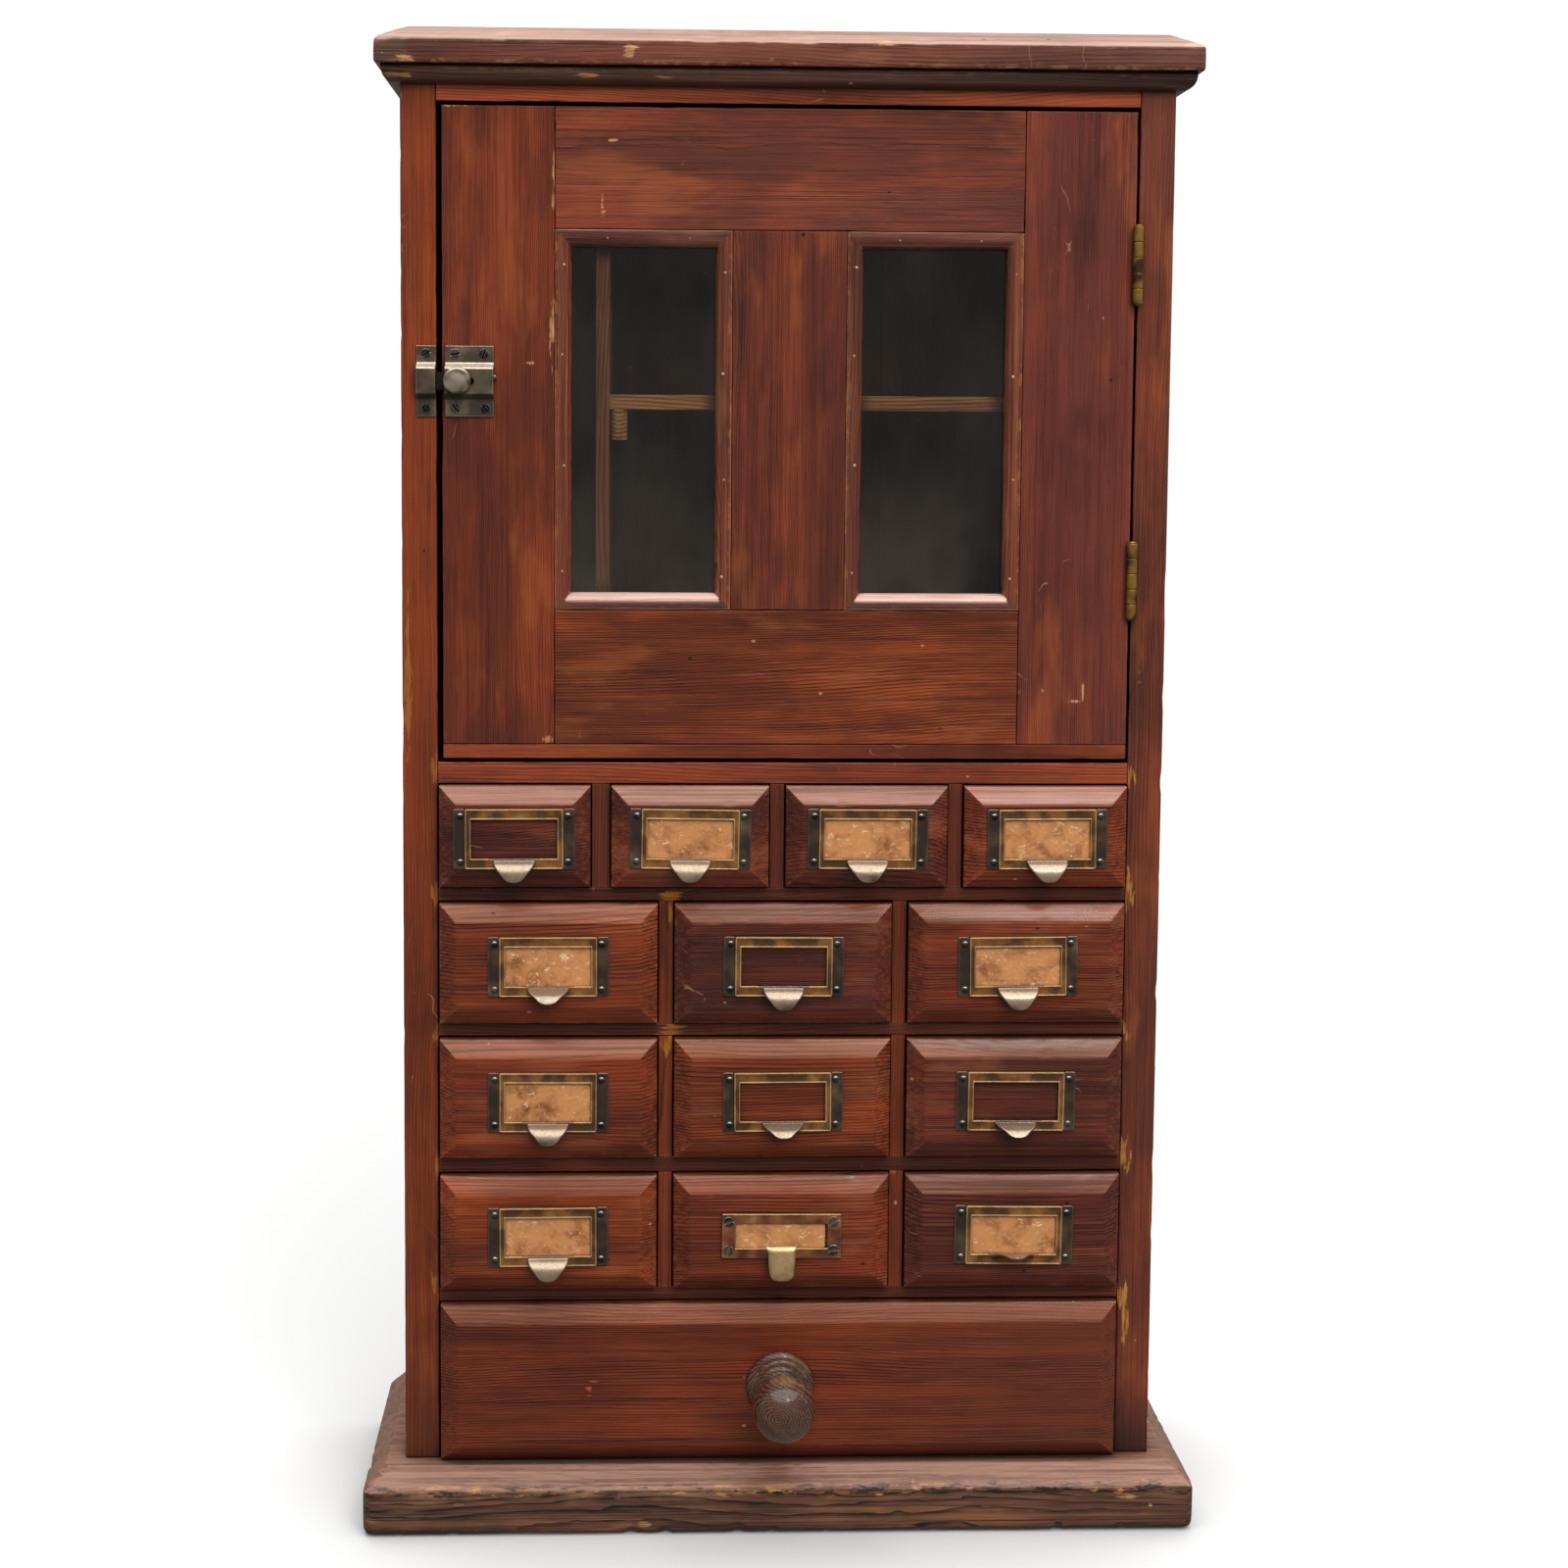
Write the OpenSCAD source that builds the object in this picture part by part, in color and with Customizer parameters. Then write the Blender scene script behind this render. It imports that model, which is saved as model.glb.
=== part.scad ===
// Apothecary cabinet: a glazed cupboard over thirteen small drawers and one wide drawer.
// Millimetres, +Z up, front towards -Y. The origin is the centre of the base's underside.

/* [Carcass] */
// Width over the two side boards
body_w = 500; // [440:1:620]
// Depth of the side boards, front edge to back edge
body_d = 150; // [130:1:260]
// Thickness of each side board
side_t = 23; // [16:1:28]
// Height at which the side boards end, under the top board
body_top = 960; // [955:1:1000]
// Thickness of the back boards
back_t = 8; // [5:1:10]
// Gap between neighbouring back boards
back_gap = 0.4; // [0.2:0.1:1]
// Width of the joint lines where two boards of one sub-part meet
joint = 0.2; // [0.1:0.05:0.4]

/* [Base and top] */
// Thickness of the base board
base_t = 42; // [32:1:50]
// How far the base board stands out past the sides and the front
base_out = 26; // [22:1:36]
// Flat step of the base board around the carcass, before its chamfer
base_step = 12; // [8:1:18]
// Drop of the base board's chamfer
base_drop = 11; // [6:1:16]
// How far the top board stands out past the sides and the front
top_out = 15; // [13:1:20]
// Height of the top board's square edge
top_edge = 16; // [12:1:24]
// Rise of the top board's bevel
top_rise = 10; // [4:1:12]
// Width of the top board's bevel
top_bevel = 19; // [10:1:24]
// Radius of the quarter-round moulding under the top board
cove_r = 11; // [8:1:12]
// Height of the rail over the door
head_h = 21.5; // [14:0.5:24]
// Depth of the rail over the door, front to back
head_d = 20; // [16:1:20]

/* [Drawers] */
// Height of the wide drawer's front
wide_h = 106; // [90:1:110]
// Heights of the drawer fronts in rows 1 to 4, from the top row down
row_h = [67, 80, 80, 77]; // [60:1:84]
// Heights of the underside of the drawer fronts in rows 1 to 4
row_z = [430, 339, 248.5, 159.5]; // [150:0.5:440]
// Widths of the four drawer fronts in row 1
row1_w = [99, 103.5, 106.5, 107.5]; // [90:0.5:110]
// Left edges of the four drawer fronts in row 1, measured from the middle
row1_x = [-226, -113.5, 1, 118.5]; // [-230:0.5:130]
// Thickness of the upright dividers in rows 2 to 4
divider_t = 9; // [6:1:12]
// Gap around each drawer front and the door's hinge side
gap = 1; // [0.6:0.1:1.5]
// How far the drawer fronts stand proud of the frame
proud = 12; // [8:1:14]
// Depth of the bevel around each drawer front
bevel_deep = 7; // [4:1:8]
// Width of the bevel around each drawer front
bevel_w = 11; // [6:1:14]
// Depth of a drawer front behind the frame's face
front_in = 8; // [6:1:14]
// Length of the drawer boxes behind their fronts
box_len = 126; // [100:1:128]
// Thickness of the drawer sides and backs
box_t = 7; // [5:1:9]
// Thickness of the drawer bottoms
bottom_t = 4; // [3:1:6]
// Height left free over the drawer sides
box_low = 9; // [5:1:14]
// Free height under the drawer boxes
box_lift = 0.5; // [0.4:0.1:0.9]

/* [Door] */
// Height of the door's lower edge
door_z = 514.5; // [514:0.5:520]
// Height of the door
door_h = 421.5; // [415:0.5:422]
// Thickness of the door
door_t = 20; // [17:1:22]
// Gap at the door's latch edge
latch_gap = 3.5; // [2:0.5:5]
// Gap at the door's hinge edge
hinge_gap = 1.5; // [1:0.1:2]
// Width of the door's stiles
stile_w = 72.5; // [60:0.5:80]
// Width of the door's middle bar
muntin_w = 74; // [60:1:80]
// Height of the door's upper rail
door_head_h = 78; // [60:1:90]
// Height of the door's lower rail
door_foot_h = 88.5; // [60:0.5:95]
// Height of the strip under the door's lower rail
strip_h = 9.5; // [6:0.5:14]
// Width of the glazing beads
bead_w = 11; // [8:1:13]
// Depth of the glazing beads
bead_d = 8; // [6:1:9]
// Thickness of the glass
glass_t = 2.4; // [2:0.1:3]
// Width of the lip behind the glass
lip_w = 8; // [6:1:10]

/* [Cupboard] */
// Thickness of the cupboard floor
floor_t = 14; // [10:1:14]
// Thickness of the upright partition
partition_t = 9; // [7:1:12]
// Place of the partition's middle, measured from the middle of the cabinet
partition_x = -120; // [-140:1:-100]
// Thickness of the shelf
shelf_t = 9.5; // [7:0.5:12]
// Height of the shelf's upper face
shelf_top = 752.5; // [720:0.5:790]
// Height of the cleats under the shelf
cleat_h = 20; // [12:1:26]
// Thickness of the cleats
cleat_t = 11.5; // [8:0.5:14]
// Room between the door's back and the shelf
door_room = 1; // [0.6:0.1:2]

/* [Hinges] */
// Height of a hinge
hinge_h = 50; // [40:1:60]
// Outer radius of the hinge barrels
barrel_r = 3.25; // [2.5:0.05:3.4]
// Radius of the hinge pins
pin_r = 1.5; // [1:0.1:1.8]
// Running clearance between the pins and the door's knuckles, on the radius
pin_play = 0.05; // [0.02:0.01:0.1]
// Thickness of the hinge leaves
leaf_t = 1.6; // [1.2:0.1:2]
// Depth of the hinge leaves into the cabinet
leaf_d = 19; // [14:1:19]
// How far the hinge axis stands in front of the door's face
axis_out = 4; // [3.8:0.1:5]
// Heights of the lower ends of the two hinges
hinge_z = [607.5, 812.5]; // [560:0.5:850]

/* [Latch] */
// Height of the bolt's centre line
latch_z = 760; // [700:1:800]
// Height of the latch plate and of the keeper
latch_h = 45.5; // [40:0.5:52]
// Width of the latch plate
latch_w = 31.3; // [26:0.1:36]
// Width of the keeper
keeper_w = 12.5; // [10:0.5:14]
// Thickness of the latch's sheet metal
sheet_t = 1.4; // [1:0.1:1.6]
// Height of the case over the door's face
case_d = 7; // [6:0.5:9]
// Height of the case's flat front
case_h = 17; // [14:0.5:19]
// Height of the case at its foot
case_foot = 24.4; // [22:0.1:27]
// Height of the bolt's tongue
bolt_h = 11.6; // [9:0.1:12]
// Clearance around the bolt
bolt_play = 0.4; // [0.3:0.1:0.6]
// Diameter of the bolt's knob
bolt_knob_d = 18; // [14:1:20]
// Distance the bolt can be shot further than at rest
bolt_in = 3.5; // [2:0.5:4]
// Distance the bolt can be drawn back
bolt_back = 8.5; // [6:0.5:9]

/* [Pulls] */
// Width of a card-frame pull
pull_w = 79; // [60:1:86]
// Height of a card-frame pull
pull_h = 39.5; // [30:0.5:42]
// Width of the opening for the card
card_w = 56; // [40:1:60]
// Height of the opening for the card
card_h = 25.5; // [18:0.5:28]
// Thickness of the pull's side ears
ear_t = 1.2; // [0.8:0.1:1.6]
// Height of the raised card frame over the drawer front
frame_d = 2.6; // [2:0.1:3.2]
// Width of the raised card frame
frame_w = 64; // [50:1:68]
// Depth of the pocket that the card slides into
pocket_d = 1; // [0.6:0.1:1.4]
// Outer radius of the curved finger lip
lip_r = 14; // [11:0.5:15]
// Thickness of the finger lip
lip_t = 1.3; // [1:0.1:1.6]
// Radius of the pull's round-headed nails
nail_r = 2.2; // [1.5:0.1:2.6]
// Diameter of the turned knob's ball
knob_d = 42; // [34:1:48]
// Diameter of the turned knob's base disc
knob_base_d = 45; // [36:1:50]
// Distance from the drawer front to the middle of the ball
knob_reach = 38; // [30:1:42]

/* [Hidden] */
$fn = 48;
EPS = 0.01;
OVER = 1;

base_w = body_w + 2 * base_out;
base_d = body_d + base_out;
front_y = base_out - base_d / 2;
in_x = body_w / 2 - side_t;
in_d = body_d - back_t;
top_h = top_edge + top_rise;
head_z = body_top - head_h;
edge_t = proud - bevel_deep;
col_w = (2 * in_x - 2 * gap - 2 * (divider_t + 2 * gap)) / 3;

door_x = -in_x + latch_gap;
door_w = 2 * in_x - latch_gap - hinge_gap;
window_w = (door_w - 2 * stile_w - muntin_w) / 2;
window_z = door_z + strip_h + door_foot_h;
window_h = door_h - strip_h - door_foot_h - door_head_h;
floor_z = row_z[0] + row_h[0] + gap;
shelf_y = door_t + door_room;

axis_x = in_x - hinge_gap / 2;
axis_y = -axis_out;
knuckles = 5;
knuckle_gap = 0.15;
pin_head_r = pin_r + 1;
pin_head_t = 1.2;
pin_seat = 0.02;

keeper_x = -in_x - keeper_w - 0.3;
case_x = -in_x + latch_gap + 2.2;
tongue_x = -in_x + 0.1;
tongue_end = -in_x + 21;
knob_x = tongue_x + 13.7;
stem_r = 2;
knob_back = 0.6;

nail_in = 4.6;
nail_rise = 1.3;
brass_frame_h = 30;
brass_opening = [61, 16.5];
tongue_w = 18.5;

// One entry per row: the angle by which each pull's lip is bent up from its made shape.
// -1 marks the drawer with the flat cast frame and thumb tongue.
LIP_BEND = [[0, 0, 0, 0], [28, 0, 0], [8, 34, 34], [0, -1, 72]];

SMALL = [for (r = [1:4]) for (c = [1:(r == 1 ? 4 : 3)]) [r, c]];

function drawer_name(d) = str("drawer_", d[0], "_", d[1]);
function drawer_w(d) = d[0] == 1 ? row1_w[d[1] - 1] : col_w;
function col_x(c) = -in_x + gap + (c - 1) * (col_w + divider_t + 2 * gap);
function drawer_x(d) = d[0] == 1 ? row1_x[d[1] - 1] : col_x(d[1]);
function drawer_z(d) = row_z[d[0] - 1];
function drawer_h(d) = row_h[d[0] - 1];
function lip_bend(d) = LIP_BEND[d[0] - 1][d[1] - 1];

STAIN = [0.36, 0.15, 0.09];
DARK_STAIN = [0.27, 0.12, 0.09];
BARE_WOOD = [0.62, 0.47, 0.32];
OLD_BRASS = [0.52, 0.42, 0.24];
OLD_STEEL = [0.42, 0.38, 0.32];

// ---- helpers ----

// Moves its children from the front plane's own coordinates, y = 0 at the frame's face.
module at_front() {
    translate([0, front_y, 0]) children();
}

// Extrudes an outline drawn in Y and Z along X.
module along_x(length) {
    rotate([90, 0, 90]) linear_extrude(length) children();
}

// Extrudes an outline drawn in X and Z along Y.
module along_y(length) {
    translate([0, length, 0]) rotate([90, 0, 0]) linear_extrude(length) children();
}

module block(x, y, z, w, d, h) {
    translate([x, y, z]) cube([w, d, h]);
}

// Cuts a flat slope along the front and both ends of a board that is w wide and ends at y = d.
// The slope goes "across" inwards and "drop" down from the upper edge at height z.
module sloped_edges(w, front, d, z, across, drop) {
    length = w + 2 * OVER;
    translate([-length / 2, front, z])
        along_x(length) polygon([[-EPS, EPS], [across, EPS], [across, 0], [0, -drop], [-EPS, -drop]]);
    for (side = [0, 1])
        mirror([side, 0, 0]) translate([-w / 2, front - OVER, z])
            along_y(d + 2 * OVER)
                polygon([[-EPS, EPS], [across, EPS], [across, 0], [0, -drop], [-EPS, -drop]]);
}

// ---- carcass ----

module base_board() {
    color(BARE_WOOD) at_front() difference() {
        block(-base_w / 2, -base_out, 0, base_w, base_d, base_t);
        sloped_edges(base_w, -base_out, base_d, base_t, base_out - base_step, base_drop);
    }
}

// Recess for a leaf whose near face is at x; it opens at the board's front edge.
module hinge_pocket(x, z) {
    block(x - EPS, -OVER, z, leaf_t + 2 * EPS, leaf_d + OVER, hinge_h);
}

module side_boards() {
    color(STAIN) at_front() {
        block(-body_w / 2, 0, base_t, side_t, body_d, body_top - base_t);
        difference() {
            block(in_x, 0, base_t, side_t, body_d, body_top - base_t);
            for (z = hinge_z) hinge_pocket(in_x, z);
        }
    }
}

module top_board() {
    w = body_w + 2 * top_out;
    d = body_d + top_out;
    color(STAIN) at_front() difference() {
        block(-w / 2, -top_out, body_top, w, d, top_h);
        sloped_edges(w, -top_out, d, body_top + top_h, top_bevel, top_rise);
    }
}

// Quarter round hanging under the top board, as an outline with its flat back at zero.
module quarter_round() {
    intersection() {
        circle(cove_r);
        translate([-cove_r, -cove_r]) square(cove_r);
    }
}

// The front length of the moulding is mitred onto the two side lengths.
module cornice_moulding() {
    half = body_w / 2;
    reach = cove_r + OVER;
    color(STAIN) at_front() translate([0, 0, body_top]) {
        intersection() {
            translate([-half - reach, 0, 0]) along_x(body_w + 2 * reach) quarter_round();
            translate([0, 0, -cove_r]) linear_extrude(cove_r) polygon([
                [-half + joint, 0], [half - joint, 0],
                [half - joint + reach, -reach], [-half + joint - reach, -reach]
            ]);
        }
        for (side = [0, 1]) mirror([side, 0, 0]) intersection() {
            translate([-half, -reach, 0]) along_y(body_d + reach) quarter_round();
            translate([0, 0, -cove_r]) linear_extrude(cove_r)
                polygon([[-half, 0], [-half, body_d], [-half - reach, body_d], [-half - reach, -reach]]);
        }
    }
}

module back_boards() {
    boards = 3;
    w = (2 * in_x - (boards - 1) * back_gap) / boards;
    color(BARE_WOOD) at_front() for (i = [0:boards - 1])
        block(-in_x + i * (w + back_gap), in_d, base_t, w, back_t, body_top - base_t);
}

// Rail over the door, cupboard floor, and the full-depth boards between the drawer rows.
module cross_boards() {
    under = [row_z[1] + row_h[1], row_z[2] + row_h[2], row_z[3] + row_h[3], base_t + gap + wide_h];
    color(STAIN) at_front() {
        block(-in_x, 0, head_z, 2 * in_x, head_d, head_h);
        block(-in_x, 0, floor_z, 2 * in_x, in_d, floor_t);
        for (i = [0:3])
            block(-in_x, 0, under[i] + gap, 2 * in_x, in_d, row_z[i] - under[i] - 2 * gap);
    }
}

module drawer_dividers() {
    color(STAIN) at_front() for (d = SMALL) if (d[1] > 1) {
        left = [d[0], d[1] - 1];
        x = drawer_x(left) + drawer_w(left) + gap;
        block(x, 0, drawer_z(d) - gap, drawer_x(d) - gap - x, in_d, drawer_h(d) + 2 * gap);
    }
}

module cupboard_partition() {
    z = floor_z + floor_t;
    color(STAIN) at_front()
        block(partition_x - partition_t / 2, shelf_y, z, partition_t, in_d - shelf_y, body_top - z);
}

module shelf_cleat(x) {
    z = shelf_top - shelf_t - cleat_h - joint;
    nose = cleat_t / 2;
    translate([x + nose, shelf_y + nose, z]) cylinder(r = nose, h = cleat_h);
    block(x, shelf_y + nose, z, cleat_t, in_d - shelf_y - nose, cleat_h);
}

module cupboard_shelf() {
    x = partition_x + partition_t / 2;
    color(BARE_WOOD) at_front() {
        block(x, shelf_y, shelf_top - shelf_t, in_x - x, in_d - shelf_y, shelf_t);
        shelf_cleat(x);
        shelf_cleat(in_x - cleat_t);
    }
}

// ---- hinges ----

// Leaf and knuckles of one hinge on one side; "first" is the first knuckle it owns.
module hinge_leaf(x, z, first, bore_r) {
    step = hinge_h / knuckles;
    difference() {
        union() {
            block(x, 0, z, leaf_t, leaf_d, hinge_h);
            for (k = [first:2:knuckles - 1]) {
                low = z + k * step + knuckle_gap;
                high = step - 2 * knuckle_gap;
                translate([axis_x, axis_y, low]) cylinder(r = barrel_r, h = high);
                block(x, axis_y, low, leaf_t, axis_out + OVER, high);
            }
        }
        translate([axis_x, axis_y, z - OVER]) cylinder(r = bore_r, h = hinge_h + 2 * OVER);
    }
}

module hinge_pin(z) {
    translate([axis_x, axis_y, z]) cylinder(r = pin_r, h = hinge_h);
    translate([axis_x, axis_y, z + hinge_h]) cylinder(r = pin_head_r, h = pin_head_t);
    translate([axis_x, axis_y, z - pin_head_t]) cylinder(r = pin_head_r, h = pin_head_t);
}

module hinge_frame_leaves() {
    color(OLD_BRASS) at_front() for (z = hinge_z) {
        hinge_leaf(in_x, z, 0, pin_r + pin_seat);
        hinge_pin(z);
    }
}

module hinge_door_leaves() {
    color(OLD_BRASS) at_front()
        for (z = hinge_z) hinge_leaf(in_x - hinge_gap - leaf_t, z, 1, pin_r + pin_play);
}

// ---- door ----

function window_x(i) = door_x + stile_w + i * (window_w + muntin_w);

// Lip that a pane rests against, flush with the door's back.
module lip(x, z, w, h) {
    seat = bead_d + glass_t;
    block(x, seat, z, w, door_t - seat, h);
}

// Each stile carries a lip along the window beside it; the hinge stile is cut for the leaves.
module door_stiles() {
    z = door_z + strip_h + joint;
    h = door_h - strip_h - joint;
    right_x = door_x + door_w - stile_w;
    color(STAIN) at_front() {
        block(door_x, 0, z, stile_w, door_t, h);
        lip(door_x, window_z, stile_w + lip_w, window_h);
        difference() {
            block(right_x, 0, z, stile_w, door_t, h);
            for (low = hinge_z) hinge_pocket(door_x + door_w - leaf_t, low);
        }
        lip(right_x - lip_w, window_z, 2 * lip_w, window_h);
    }
}

// Upper rail, lower rail, the middle bar between them, and the strip along the door's foot.
module door_rails() {
    rail_x = door_x + stile_w + joint;
    rail_w = door_w - 2 * (stile_w + joint);
    lip_l = window_w - 2 * (lip_w + joint);
    color(STAIN) at_front() {
        block(door_x, 0, door_z, door_w, door_t, strip_h);
        block(rail_x, 0, window_z + window_h + joint, rail_w, door_t, door_head_h - joint);
        block(rail_x, 0, door_z + strip_h + joint, rail_w, door_t, door_foot_h - 2 * joint);
        block(window_x(0) + window_w, 0, window_z, muntin_w, door_t, window_h);
        lip(window_x(0) + window_w - lip_w, window_z, muntin_w + 2 * lip_w, window_h);
        for (i = [0, 1]) {
            x = window_x(i) + lip_w + joint;
            lip(x, window_z + window_h - lip_w, lip_l, 2 * lip_w);
            lip(x, window_z - lip_w, lip_l, 2 * lip_w);
        }
    }
}

// One quarter-round bead lying along X, mitred at both ends.
module bead(length) {
    flat = bead_w - bead_d;
    mitre = [[-OVER, -OVER], [joint, 0], [bead_w + joint, bead_w], [bead_w + joint, 2 * bead_w],
             [-OVER, 2 * bead_w]];
    difference() {
        along_x(length) {
            square([bead_d, flat]);
            translate([bead_d, flat - EPS]) intersection() {
                circle(bead_d);
                translate([-bead_d, 0]) square(bead_d);
            }
        }
        for (side = [0, 1]) translate([side * length, -OVER, 0]) mirror([side, 0, 0])
            along_y(bead_d + 2 * OVER) polygon(mitre);
    }
}

// Four mitred beads hold each pane from the front.
module door_beads() {
    color(DARK_STAIN) at_front() for (i = [0, 1]) translate([window_x(i), 0, window_z]) {
        bead(window_w);
        translate([window_w, 0, window_h]) rotate([0, 180, 0]) bead(window_w);
        translate([0, 0, window_h]) rotate([0, 90, 0]) bead(window_h);
        translate([window_w, 0, 0]) rotate([0, -90, 0]) bead(window_h);
    }
}

module door_panes() {
    fit = 0.5;
    color([0.7, 0.8, 0.8, 0.35]) at_front() for (i = [0, 1])
        block(window_x(i) + fit, bead_d, window_z + fit, window_w - 2 * fit, glass_t, window_h - 2 * fit);
}

// ---- latch ----

// Outline of a strip that rises from flat feet to a raised bridge, around z = 0.
module bridge_outline(depth) {
    polygon([
        [0, -latch_h / 2], [-sheet_t, -latch_h / 2], [-sheet_t, -case_foot / 2], [-depth, -case_h / 2],
        [-depth, case_h / 2], [-sheet_t, case_foot / 2], [-sheet_t, latch_h / 2], [0, latch_h / 2]
    ]);
}

module latch_keeper() {
    inner = case_d - sheet_t;
    tunnel = bolt_h + 2 * bolt_play + sheet_t;
    color(OLD_STEEL) at_front() translate([keeper_x, 0, latch_z]) difference() {
        along_x(keeper_w) bridge_outline(case_d);
        translate([-OVER, 0, 0]) along_x(keeper_w + 2 * OVER) polygon([
            [EPS, -case_foot / 2 + sheet_t], [-inner, -tunnel / 2],
            [-inner, tunnel / 2], [EPS, case_foot / 2 - sheet_t]
        ]);
    }
}

module latch_case() {
    channel = bolt_h + 2 * bolt_play;
    wall = 1.5;
    slot_h = 2 * (stem_r + bolt_play);
    slot_x = knob_x - bolt_in - stem_r - bolt_play;
    slot_w = bolt_in + bolt_back + slot_h;
    color(OLD_STEEL) at_front() translate([0, 0, latch_z]) difference() {
        translate([case_x, 0, 0]) along_x(latch_w) bridge_outline(case_d);
        block(case_x - OVER, -case_d + sheet_t, -channel / 2, latch_w - wall + OVER,
              case_d - 2 * sheet_t, channel);
        block(slot_x, -case_d - OVER, -slot_h / 2, slot_w, sheet_t + 2 * OVER, slot_h);
    }
}

module latch_bolt() {
    thick = case_d - 2 * sheet_t - 2 * bolt_play;
    r = bolt_knob_d / 2;
    color(OLD_STEEL) at_front() translate([0, 0, latch_z]) {
        block(tongue_x, -case_d + sheet_t + bolt_play, -bolt_h / 2, tongue_end - tongue_x, thick, bolt_h);
        translate([knob_x, -sheet_t - bolt_play - OVER, 0]) rotate([90, 0, 0]) rotate_extrude() polygon([
            [0, 0], [stem_r, 0], [stem_r, case_d - OVER], [r * 0.5, case_d - OVER],
            [r * 0.94, case_d], [r, case_d + OVER], [r, case_d + 2.2], [r * 0.88, case_d + 3.6],
            [r * 0.5, case_d + 4.6], [0, case_d + 5]
        ]);
    }
}

// ---- drawers ----

// A board whose four front edges are bevelled back from the raised face.
module drawer_front(x, z, w, h) {
    cut = [[-EPS, -EPS], [bevel_deep, -EPS], [bevel_deep, 0], [0, bevel_w], [-EPS, bevel_w]];
    side_cut = [for (p = cut) [p[1], p[0]]];
    color(STAIN) at_front() translate([x, -proud, z]) difference() {
        cube([w, proud + front_in, h]);
        translate([-OVER, 0, 0]) along_x(w + 2 * OVER) polygon(cut);
        translate([-OVER, 0, h]) mirror([0, 0, 1]) along_x(w + 2 * OVER) polygon(cut);
        translate([0, 0, -OVER]) linear_extrude(h + 2 * OVER) polygon(side_cut);
        translate([w, 0, -OVER]) mirror([1, 0, 0]) linear_extrude(h + 2 * OVER) polygon(side_cut);
    }
}

// Two sides, a back and a bottom, each its own board.
module drawer_box(x, z, w, h) {
    wall_h = h - box_low + box_lift;
    inner_x = box_t + joint;
    inner_w = w - 2 * inner_x;
    back_y = box_len - box_t;
    color(BARE_WOOD) at_front() translate([x, front_in, z - box_lift]) {
        for (side_x = [0, w - box_t]) block(side_x, 0, 0, box_t, box_len, wall_h);
        block(inner_x, back_y, 0, inner_w, box_t, wall_h);
        block(inner_x, 0, bottom_t / 2, inner_w, back_y - joint, bottom_t);
    }
}

// ---- pulls ----

// Outline of the finger lip seen from the front: wide at the frame, round at the tip.
module lip_outline() {
    top = -pull_h / 2 + 7;
    tip = -lip_r - card_h / 2 + 1.2;
    shoulder = 16;
    waist = 11.5;
    end_r = 8;
    polygon([[-shoulder, top], [-waist, top - 4.5], [-end_r - 1, tip + end_r + 0.5],
             [end_r + 1, tip + end_r + 0.5], [waist, top - 4.5], [shoulder, top]]);
    translate([0, tip + end_r]) circle(end_r);
    translate([-end_r - 0.9, tip + end_r]) square([2 * end_r + 1.8, 1]);
}

// Curved sheet that leaves the frame's lower bar and turns down, bent up by "bend" degrees.
module finger_lip(bend) {
    centre_y = 3;
    pivot_z = -card_h / 2 - 1.4;
    centre_z = pivot_z - sqrt(lip_r * lip_r - pow(centre_y + frame_d, 2));
    difference() {
        translate([0, -frame_d, pivot_z]) rotate([-bend, 0, 0]) translate([0, frame_d, -pivot_z])
            intersection() {
                translate([-pull_w / 2, centre_y, centre_z]) rotate([0, 90, 0]) difference() {
                    cylinder(r = lip_r, h = pull_w);
                    translate([0, 0, -OVER]) cylinder(r = lip_r - lip_t, h = pull_w + 2 * OVER);
                }
                translate([0, -frame_d + EPS - 2 * lip_r, 0]) along_y(2 * lip_r) lip_outline();
                translate([-pull_w / 2, -2 * lip_r, centre_z]) cube([pull_w, 2 * lip_r, lip_r]);
            }
        translate([-pull_w / 2, -frame_d / 2, -pull_h]) cube([pull_w, pull_w, 2 * pull_h]);
    }
}

module nail_head(x, z) {
    translate([x, -ear_t + EPS, z]) rotate([90, 0, 0]) intersection() {
        translate([0, 0, nail_rise - nail_r]) sphere(r = nail_r);
        cylinder(r = 2 * nail_r, h = 2 * nail_r);
    }
}

// Stamped card frame: two nailed ears, a raised frame with a pocket for the card, a lip.
module card_pull(bend) {
    bar = (pull_h - card_h) / 2;
    difference() {
        union() {
            translate([-pull_w / 2, -ear_t, -pull_h / 2]) cube([pull_w, ear_t, pull_h]);
            translate([-frame_w / 2, -frame_d, -pull_h / 2]) cube([frame_w, frame_d, pull_h]);
        }
        translate([-card_w / 2, -frame_d - OVER, -card_h / 2]) cube([card_w, frame_d + 2 * OVER, card_h]);
        translate([-frame_w / 2 + 1, -pocket_d, -card_h / 2 - bar / 2])
            cube([frame_w - 2, pocket_d + OVER, card_h + bar]);
    }
    finger_lip(bend);
    for (x = [-pull_w / 2 + nail_in, pull_w / 2 - nail_in], z = [-pull_h / 2 + nail_in, pull_h / 2 - nail_in])
        nail_head(x, z);
}

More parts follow.
